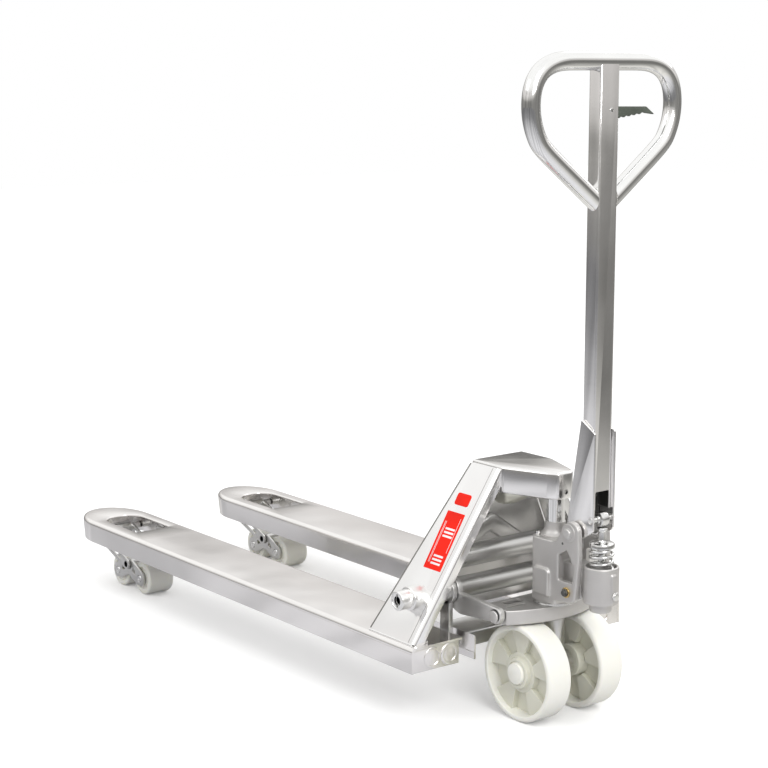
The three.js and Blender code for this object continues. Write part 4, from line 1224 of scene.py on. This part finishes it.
def make_pump_body():
    block = plate("block", "XY", rounded([
        (PUMP_FRONT, -PUMP_HALF + 12, 6), (PUMP_FRONT + 12, -PUMP_HALF, 6),
                                          (PUMP_REAR, -PUMP_HALF, 4),
        (PUMP_REAR, PUMP_HALF, 4), (PUMP_FRONT + 12, PUMP_HALF, 6),
                                          (PUMP_FRONT, PUMP_HALF - 12, 6)]),
        PUMP_LOW + 4, PUMP_TOP, CAST, edge=2.6)
    window = rounded([(661, 268), (697, 268), (700, 300), (682, 326), (661, 314)], 2)
    ears = [plate("ear", "XZ", ear_outline(), *ends, CAST, edge=1.8, holes=[window])
            for ends in ((-PUMP_HALF, -28.5), (28.5, PUMP_HALF))]
    web = plate("web", "XY", box_outline(PUMP_REAR - 8, 700, -29.5, 29.5, 5), 236, 262, CAST,
                edge=2.2)
    neck = plate("neck", "XY", box_outline(PUMP_REAR - 8, CUP_X - 16, -20, 20, 3), 240, 298, CAST,
                 edge=3)
    face = plate("face", "XZ", rounded([(602, 233, 3), (641, 233, 3), (641, 283, 9),
                                        (602, 283, 3)]),
                 -PUMP_HALF - 6, -PUMP_HALF + 3, CAST, edge=2)
    back_face = plate("face", "XZ", rounded([(604, 236, 3), (640, 236, 3), (640, 276, 5),
                                             (604, 276, 5)]),
                      PUMP_HALF - 3, PUMP_HALF + 3, CAST, edge=1.6)
    cup = turned("cup", "Z", (CUP_X, 0, 0), [
        (0, CUP_LOW - 16), (17.5, CUP_LOW - 16), (20, CUP_LOW - 13.5), (20, CUP_LOW - 2),
                                             (21, CUP_LOW - 0.3),
        (28.5, CUP_LOW), (31, CUP_LOW + 1), (CUP_R, CUP_LOW + 3.4), (CUP_R, CUP_TOP - 2.2),
        (CUP_R - 0.7, CUP_TOP - 0.6), (CUP_R - 2.2, CUP_TOP), (WELL_R + 1, CUP_TOP),
                                             (WELL_R, CUP_TOP - 1),
        (WELL_R, WELL_FLOOR + 1), (WELL_R - 1, WELL_FLOOR), (0, WELL_FLOOR)], CAST)
    rib = plate("rib", "XZ", rounded([(CUP_X + 26, 240), (CUP_X + CUP_R + 3, 240, 3),
                                      (CUP_X + CUP_R + 3, 292, 5), (CUP_X + 26, 296)]), -7, 7, CAST,
                edge=3)
    foot = turned("foot", "Z", STEER_AT, [
        (20, PUMP_LOW), (37, PUMP_LOW), (39, PUMP_LOW + 1), (39, PUMP_LOW + 5), (36, PUMP_LOW + 8),
        (20, PUMP_LOW + 8)], CAST)
    body = gathered("pump_casting", block, *ears, web, neck, face, back_face, cup, rib, foot)
    body = cast_over(body, 1.4, 4)
    bore = rod("bore", "Z", STEER_AT, RAM_R + 0.4, 219, PUMP_TOP + 20, CAST)
    pin_hole = rod("pin_hole", "Y", PIVOT_AT, 8.3, -60, 60, CAST)
    well = rod("well", "Z", (CUP_X, 0, 0), WELL_R, WELL_FLOOR, CUP_TOP + 20, CAST)
    return cut(body, bore, pin_hole, well)


def make_pump_fittings():
    """Small cast and fastened details that ride on the pump."""
    parts = []
    collar = [(RAM_R + 0.4, PUMP_TOP - 1), (RAM_R + 10, PUMP_TOP - 1), (RAM_R + 10, PUMP_TOP + 1.5),
              (RAM_R + 8.6, PUMP_TOP + 3), (RAM_R + 6, PUMP_TOP + 5), (RAM_R + 4, PUMP_TOP + 8.5),
              (RAM_R + 2.8, PUMP_TOP + 13), (RAM_R + 2, PUMP_TOP + 20),
              (RAM_R + 1.6, PUMP_TOP + 25),
              (RAM_R + 0.4, PUMP_TOP + 25.6)]
    parts.append(turned("collar", "Z", STEER_AT, collar, CAST))
    for s in (-1, 1):
        y = s * (PUMP_HALF + 1.0)
        y0, y1 = sorted((s * (PUMP_HALF - 1), y))
        parts.append(round_boss("boss", "Y", PIVOT_AT, 17, (y0, y1), 0.9, 8.3, CAST))
        y0, y1 = sorted((s * (PUMP_HALF - 1), s * (PUMP_HALF + 0.15)))
        # painted shade: a flat dark disc on each ear where a small hole stands in shade
        parts.append(rod("ear_hole_shade", "Y", (672, 0, 337), 2.4, y0, y1, DARK_STEEL, edge=0.1))
    for x, y in ((593, -27), (593, 27)):
        parts.append(rod("stud", "Z", (x, y, 0), 4.4, PUMP_TOP - 2, PUMP_TOP + 6, BRIGHT, edge=1.2))
    return parts


pump_fittings = make_pump_fittings()
place(make_pump_body(), "steer_unit", "cast_metal", "pump_housing")
for index, fitting in enumerate(pump_fittings):
    fitting.name = f"pump_fitting_{index}"
    place(fitting, "steer_unit", "cast_metal")


def hex_head(name, axis, centre, across, lo, hi, material):
    """A hexagon head with chamfered corners."""
    plane = {"Y": "XZ", "X": "YZ", "Z": "XY"}[axis]
    u, v = {"Y": (centre[0], centre[2]), "X": (centre[1], centre[2]),
            "Z": (centre[0], centre[1])}[axis]
    corners = [(u + across / math.sqrt(3) * math.cos(math.radians(a)),
                v + across / math.sqrt(3) * math.sin(math.radians(a))) for a in range(0, 360, 60)]
    return plate(name, plane, rounded(corners, 0.8, 3), lo, hi, material, edge=0.9)


def make_valve_bolt():
    bolt = cad("valve_bolt")
    centre = (bolt.cx, 0, bolt.cz)
    head = hex_head("head", "Y", centre, 13.5, bolt.y0 + 2.6, bolt.y1, DARK_STEEL)
    cap = rod("cap", "Y", centre, 5.4, bolt.y0, bolt.y0 + 3.4, DARK_STEEL, edge=1.4)
    return gathered("valve_bolt_hex", head, cap)


def make_handle_pin():
    parts = [rod("shank", "Y", PIVOT_AT, 8, PIVOT.y0, PIVOT.y1, ARM_STEEL, edge=1.8)]
    for s in (-1, 1):
        y0, y1 = sorted((s * (PUMP_HALF + 1.2), s * (PUMP_HALF + 2.3)))
        parts.append(rod("clip", "Y", PIVOT_AT, 10.6, y0, y1, ARM_STEEL, edge=0.4))
    return gathered("handle_pin_turned", *parts)


def make_rear_plug():
    plug = cad("rear_plug")
    head = hex_head("head", "X", (0, plug.cy, plug.cz), 14.5, plug.x0, plug.x1 - 1.4, BRIGHT)
    face = rod("face", "X", (0, plug.cy, plug.cz), 6.2, plug.x0 + 1, plug.x1, BRIGHT)
    return gathered("rear_plug_hex", head, face)


def make_stem():
    profile = [(0, 100), (17, 100), (20, 106), (20, 203), (18.4, 206), (18.4, 214.2), (0, 214.2)]
    post = turned("post", "Z", STEER_AT, profile, SATIN)
    stem = cad("steering_stem")
    barrel = round_boss("barrel", "Y", WHEEL_AT, 24, (stem.y0, stem.y1), 2, 10.4, SATIN)
    return gathered("steering_stem_turned", post, barrel)


place(make_valve_bolt(), "steer_unit", "dark_steel", "valve_bolt")
place(cad_pin("valve_washer_turned", "valve_washer", "Y", BRASS, 0.8, 9.5), "steer_unit", "brass",
      "valve_washer")
place(make_handle_pin(), "steer_unit", "satin_steel", "handle_pin")
place(make_rear_plug(), "steer_unit", "satin_steel", "rear_plug")
place(make_stem(), "steer_unit", "satin_steel", "steering_stem")
place(cad_pin("wheel_axle_turned", "wheel_axle", "Y", BRIGHT, 1.2, 10), "steer_unit", "satin_steel",
      "wheel_axle")


def make_ram():
    top = RAM.z1
    profile = [(0, RAM.z0), (RAM_R - 1, RAM.z0), (RAM_R, RAM.z0 + 1), (RAM_R, top - 30),
               (RAM_R - 0.8, top - 29.2),
               (RAM_R - 0.8, top - 27.8), (RAM_R, top - 27), (RAM_R, top - 7),
               (RAM_R - 1.8, top - 4),
               (12.6, top - 3.6), (12, top - 1.2), (10.6, top), (0, top)]
    return turned("ram_chromed", "Z", STEER_AT, profile, TUBE_STEEL)


def make_plunger():
    box = cad("plunger")
    foot = box.z0 + 2.4  # clear of the well's rounded floor at the end of the stroke
    profile = [(0, foot), (6, foot), (6, CAP_LOW), (22.2, CAP_LOW), (23, CAP_LOW + 0.8),
               (23, CAP_TOP - 4),
               (22, CAP_TOP - 1.8), (19.6, CAP_TOP - 0.6), (13, CAP_TOP), (9, CAP_TOP + 0.6),
               (7.4, CAP_TOP + 2.6), (7, CAP_TOP + 5), (7, box.z1 - 8), (9.2, box.z1 - 6),
               (9.6, box.z1 - 2),
               (8.4, box.z1 - 0.5), (6, box.z1), (0, box.z1)]
    return turned("plunger_turned", "Z", (CUP_X, 0, 0), profile, BRIGHT)


def make_spring():
    """Round wire, six turns, with the end turns closed up as on a ground spring."""
    turns, steps, wire, radius = 6, 40, 2.8, 20
    low, high = WELL_FLOOR + wire + 0.3, CAP_LOW - wire - 0.3
    path = []
    for i in range(turns * steps + 1):
        t = i / (turns * steps)
        eased = t - 0.035 * math.sin(TAU * t)
        angle = TAU * turns * t
        path.append((CUP_X + radius * math.cos(angle), radius * math.sin(angle),
                     low + (high - low) * eased))
    return swept("plunger_spring_wound", path, wire, BRIGHT, 18)


place(make_ram(), "ram_body", "polished_steel", "ram")
place(make_plunger(), "plunger_body", "satin_steel", "plunger")
spring = place(make_spring(), "steer_unit", "polished_steel", "plunger_spring")
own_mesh(spring)


def make_valve_lever():
    lever = cad("valve_lever")
    finger = plate("finger", "XZ", rounded([(672, 302, 6), (684, 302, 6), (701, 335, 3),
                                            (694, 341, 3)]),
                   lever.y0 + 1.5, lever.y1, SATIN, edge=0.9)
    hub = rod("hub", "Y", (678, 0, 306), 7, lever.y0, lever.y1, SATIN)
    return gathered("valve_lever_forged", finger, hub)


place(make_valve_lever(), "valve", "satin_steel", "valve_lever")


# ---------------------------------------------------------------- steering wheels
WHEEL = cad("left_steering_wheel")
WHEEL_IN, WHEEL_OUT = WHEEL.y1, WHEEL.y0
HUB_BORE = 10.4
SPOKES = 5


def wheel_rim():
    """Tread and rim: a slight crown, soft shoulders, and a draft angle inside the rim."""
    r, o, i = WHEEL_R, WHEEL_OUT, WHEEL_IN
    profile = [(77, o + 25), (79.4, o + 1.6), (80.6, o + 0.2), (82, o), (84.5, o)]
    profile += [(84.5 + 5.5 * math.sin(math.radians(a)), o + 5.5 - 5.5 * math.cos(math.radians(a)))
                for a in (15, 30, 45, 60, 75, 90)]
    profile += [(r, (o + i) / 2)]
    profile += [(84.5 + 5.5 * math.sin(math.radians(a)), i - 5.5 + 5.5 * math.cos(math.radians(a)))
                for a in (90, 75, 60, 45, 30, 15)]
    profile += [(84.5, i), (82, i), (80.6, i - 0.2), (79.4, i - 1.6), (77, i - 25)]
    return turned("rim", "Y", WHEEL_AT, profile, NYLON, 144)


def wheel_web():
    """Hub and disc: a raised hub, a ring round it, and the floor of the pockets."""
    o, i = WHEEL_OUT, WHEEL_IN
    profile = [(HUB_BORE, o + 3), (21.8, o + 3), (22.4, o + 1), (23.2, o + 0.4), (25.6, o + 0.4),
               (27.6, o + 1.2), (28.6, o + 3), (29, o + 8), (30, o + 9.4), (35.6, o + 9.8),
               (37, o + 11),
               (37.6, o + 14), (39, o + 22), (80, o + 24), (80, i - 24), (32, i - 22),
               (30.4, i - 15),
               (30, i - 1), (29, i), (HUB_BORE, i)]
    # painted shade: the hub and disc take the darker olive copy of the nylon
    return turned("web", "Y", WHEEL_AT, profile, NYLON_SHADED_WEB, 144)


def wheel_wedges():
    """Raised wedge panels between the pockets, on both faces."""
    wedges = []
    step = 360 / SPOKES
    for k in range(SPOKES):
        start = 90 - step / 4 + k * step
        stop = start + step / 2
        outline = arc(STEER_X, 90, 79.6, start - 1, stop + 1, 10) + arc(STEER_X, 90, 34, stop - 4,
                                                                        start + 4, 6)
        # painted shade: the wedges take the darker olive copy of the nylon
        wedges.append(plate("wedge", "XZ", outline, WHEEL_OUT + 11, WHEEL_OUT + 26, NYLON_SHADED_WEB,
                            edge=1.2))
        wedges.append(plate("wedge", "XZ", outline, WHEEL_IN - 26, WHEEL_IN - 11, NYLON_SHADED_WEB,
                            edge=1.2))
    return wedges


def make_steering_wheel():
    return gathered("steering_wheel_web", wheel_web(), *wheel_wedges())


def make_hub_cap():
    cap = cad("left_hub_cap")
    profile = [(0, cap.y0), (17.6, cap.y0), (19, cap.y0 + 0.6), (19.6, cap.y0 + 2),
               (20.2, cap.y0 + 6),
               (21.5, cap.y0 + 7.2), (21.5, cap.y1), (0, cap.y1)]
    return turned("hub_cap", "Y", WHEEL_AT, profile, NYLON)


place_pair(wheel_rim(), "steering_wheel_rim", "SIDE_wheel", "nylon", "SIDE_steering_wheel")
place_pair(make_steering_wheel(), "steering_wheel_web", "SIDE_wheel", "nylon")
place_pair(make_hub_cap(), "hub_cap_moulded", "SIDE_wheel", "nylon", "SIDE_hub_cap")


# ---------------------------------------------------------------- handle
COLUMN = cad("handle_column")
TRIGGER_Y, TRIGGER_Z = 4, 1098
WINDOW_TOP = 437


def make_column():
    """A folded tube of rectangular section with a window for the push roller."""
    outline = box_outline(COLUMN.x0, COLUMN.x1, COLUMN.y0, COLUMN.y1, 4, 8)
    inside = box_outline(COLUMN.x0 + 2.5, COLUMN.x1 - 2.5, COLUMN.y0 + 2.5, COLUMN.y1 - 2.5, 2, 6)
    tube = plate("handle_column_tube", "XY", outline, COLUMN.z0, COLUMN.z1 + 12, MIRROR,
                 holes=[inside],
                 edge=0.7)
    window = plate("window", "YZ", rounded([(-16.5, COLUMN.z0 - 20), (16.5, COLUMN.z0 - 20),
                                            (16.5, WINDOW_TOP, 3),
                                            (-16.5, WINDOW_TOP, 3)]), COLUMN.cx, COLUMN.x1 + 5,
                   MIRROR, edge=0.1)
    slot = plate("slot", "XZ", box_outline(COLUMN.cx - 5, COLUMN.cx + 5, TRIGGER_Z - 26,
                                           TRIGGER_Z + 24, 3),
                 COLUMN.y1 - 5, COLUMN.y1 + 5, MIRROR, edge=0.1)
    return cut(tube, window, slot)


def make_window_shade_and_guard():
    """Painted shade: a dark sheet inside the column behind its window, where the tube's inside is
    in shade; and the guard below it.
    """
    x0, x1, half = COLUMN.x0 + 2.7, COLUMN.x1 - 2.8, COLUMN.y1 - 2.7
    shell = [(x1, -half), (x0, -half), (x0, half), (x1, half), (x1, half - 1), (x0 + 1, half - 1),
             (x0 + 1, 1 - half), (x1, 1 - half)]
    # painted shade: dark steel over the column's inside walls behind the window
    shade_sheet = plate("shade_sheet", "XY", shell, COLUMN.z0 + 1, WINDOW_TOP + 40, DARK_STEEL, edge=0.2)
    guard = plate("guard", "XZ", [(COLUMN.x0 - 12.4, 409), (COLUMN.x0 + 3, 409),
                                  (COLUMN.x0 + 1, 376),
                                  (COLUMN.x0 - 2, 376)], COLUMN.y0 + 0.6, COLUMN.y1 - 0.6,
                  DARK_STEEL)
    return gathered("window_shade_and_guard", shade_sheet, guard)


LOOP = cad("handle_loop")
LOOP_R = (LOOP.x1 - LOOP.x0) / 2
LOOP_TOP = LOOP.z1 - LOOP_R
LOOP_HALF = 167
LOOP_WIDE, LOOP_JOINT = 1100, 940


def loop_path():
    """The loop's centre line: half of it from the joint to the top, then its mirror image."""
    arm = (LOOP_HALF - 24, LOOP_WIDE - 62)
    low, wide, corner = (LOOP_HALF, LOOP_WIDE - 28), (LOOP_HALF, LOOP_WIDE + 8), (LOOP_HALF,
                                                                                  LOOP_TOP)
    shoulder = (LOOP_HALF - 86, LOOP_TOP)
    half = [(12 + (arm[0] - 12) * i / 10,
             LOOP_JOINT + (arm[1] - LOOP_JOINT) * i / 10) for i in range(10)]
    half += bezier(arm, low, wide, 20)[:-1] + bezier(wide, corner, shoulder, 32)[:-1]
    half += [(shoulder[0] * (1 - i / 6), LOOP_TOP) for i in range(7)]
    right = [Vector((COLUMN.cx, y, z)) for y, z in half]
    return [Vector((p.x, -p.y, p.z)) for p in right] + right[:-1][::-1]


def make_loop():
    path = loop_path()
    for _ in range(6):
        between = [(a + b * 2 + c) / 4 for a, b, c in zip(path, path[1:], path[2:])]
        path = [path[0], *between, path[-1]]
    tube = swept("handle_loop_tube", path, LOOP_R, TUBE_STEEL, 56)
    room = plate("room", "XY", box_outline(COLUMN.x0 - 20, COLUMN.x1 + 20, COLUMN.y0 - 0.3,
                                           COLUMN.y1 + 0.3),
                 LOOP_JOINT - 60, COLUMN.z1, TUBE_STEEL, edge=0.05)
    return cut(tube, room)


def bracket_outline():
    front, rear = COLUMN.x0 + 1, cad("handle_bracket").x1
    top, low = cad("handle_bracket").z1, 363
    return rounded([(rear, low + 6, 5), (rear, top - 21, 4), (front, top, 3),
                    (PIVOT_X - 19, PIVOT_Z + 12, 20),
                    *arc(PIVOT_X, PIVOT_Z, 18, 170, 325, 14), (rear - 6, low, 5)])


def make_bracket():
    box = cad("handle_bracket")
    sides = [plate("side", "XZ", bracket_outline(), *ends, MIRROR, edge=1.4, holes=[
        circle(PIVOT_X, PIVOT_Z, 8.3), circle(727, 387, 5.3)])
        for ends in ((box.y0, box.y0 + 4), (box.y1 - 4, box.y1))]
    front = COLUMN.x0
    web = plate("web", "XZ", rounded([(front - 5, 522), (front - 0.3, 522), (front - 0.3, 408),
                                      (front - 13, 408)], 1), box.y0 + 0.4, box.y1 - 0.4, MIRROR,
                edge=1)
    return gathered("handle_bracket_folded", *sides, web)


def make_push_roller():
    box = cad("push_roller")
    r, lo, hi = (box.x1 - box.x0) / 2, box.y0, box.y1
    profile = [(5.3, lo), (7.6, lo), (8, lo + 3), (9, lo + 3.4), (r - 3, lo + 3.4),
               (r - 0.8, lo + 4.6),
               (r, lo + 7), (r, hi - 7), (r - 0.8, hi - 4.6), (r - 3, hi - 3.4), (9, hi - 3.4),
               (8, hi - 3), (7.6, hi), (5.3, hi)]
    return turned("push_roller_turned", "Y", (box.cx, 0, box.cz), profile, BRIGHT)


def make_push_roller_pin():
    box = cad("push_roller_pin")
    reach = cad("handle_bracket").y1 + 0.8
    return rod("push_roller_pin_turned", "Y", (box.cx, 0, box.cz), 5, -reach, reach, SHEEN,
               edge=0.8)


def make_release_rod():
    """The pull chain from the lever to the valve: round links turned by turns."""
    box = cad("release_rod")
    links = []
    pitch, wire = 8.4, 1.0
    count = int((box.z1 - box.z0 - 4) / pitch)
    for k in range(count):
        z = box.z0 + 6 + pitch * k
        path = []
        for i in range(16):
            angle = TAU * i / 16
            side, up = 1.8 * math.cos(angle), 4.9 * math.sin(angle)
            path.append((box.cx + (side if k % 2 else 0), 0 if k % 2 else side, z + up))
        links.append(swept("link", path + path[:1], wire, DARK_STEEL, 8))
    return gathered("release_chain", *links)


def make_release_lever():
    """A moulded lever with a scalloped finger grip underneath."""
    box = cad("release_lever")
    y, z, tip = TRIGGER_Y, TRIGGER_Z, box.y1
    outline = [(y - 9, z - 6, 5), (y + 2, z - 10, 4), (26, z - 12.5, 6)]
    teeth = 5
    for i in range(teeth):
        start = 34 + (tip - 24 - 34) * i / teeth
        rise = 1.6 * i
        outline += [(start, z - 15 + rise, 2.6), (start + 7, z - 11 + rise, 2.6)]
    outline += [(tip - 23, z - 6.5, 4), (tip, z - 9, 0.8), (tip - 21, z + 5, 7), (y + 6, z + 6, 12),
                (y - 9, z + 8, 6)]
    body = plate("lever", "YZ", rounded(outline), box.x0, box.x1, DARK_PLASTIC, edge=1.3,
                 holes=[circle(y, z, 4.3)])
    boss = round_boss("boss", "X", (0, y, z), 8, (box.x0, box.x1), 0.6, 4.3, DARK_PLASTIC)
    return gathered("release_lever_moulded", body, boss)


place(make_column(), "handle", "polished_steel", "handle_column")
place(make_window_shade_and_guard(), "handle", "dark_steel")
place(make_loop(), "handle", "polished_steel", "handle_loop")
place(make_bracket(), "handle", "polished_steel", "handle_bracket")
place(make_push_roller(), "roller_body", "satin_steel", "push_roller")
place(make_push_roller_pin(), "handle", "satin_steel", "push_roller_pin")
place(make_release_rod(), "handle", "dark_steel", "release_rod")
place(cad_pin("lever_pin_turned", "lever_pin", "X", BRIGHT, 0.8, 4), "handle", "satin_steel",
      "lever_pin")
place(make_release_lever(), "trigger", "dark_plastic", "release_lever")
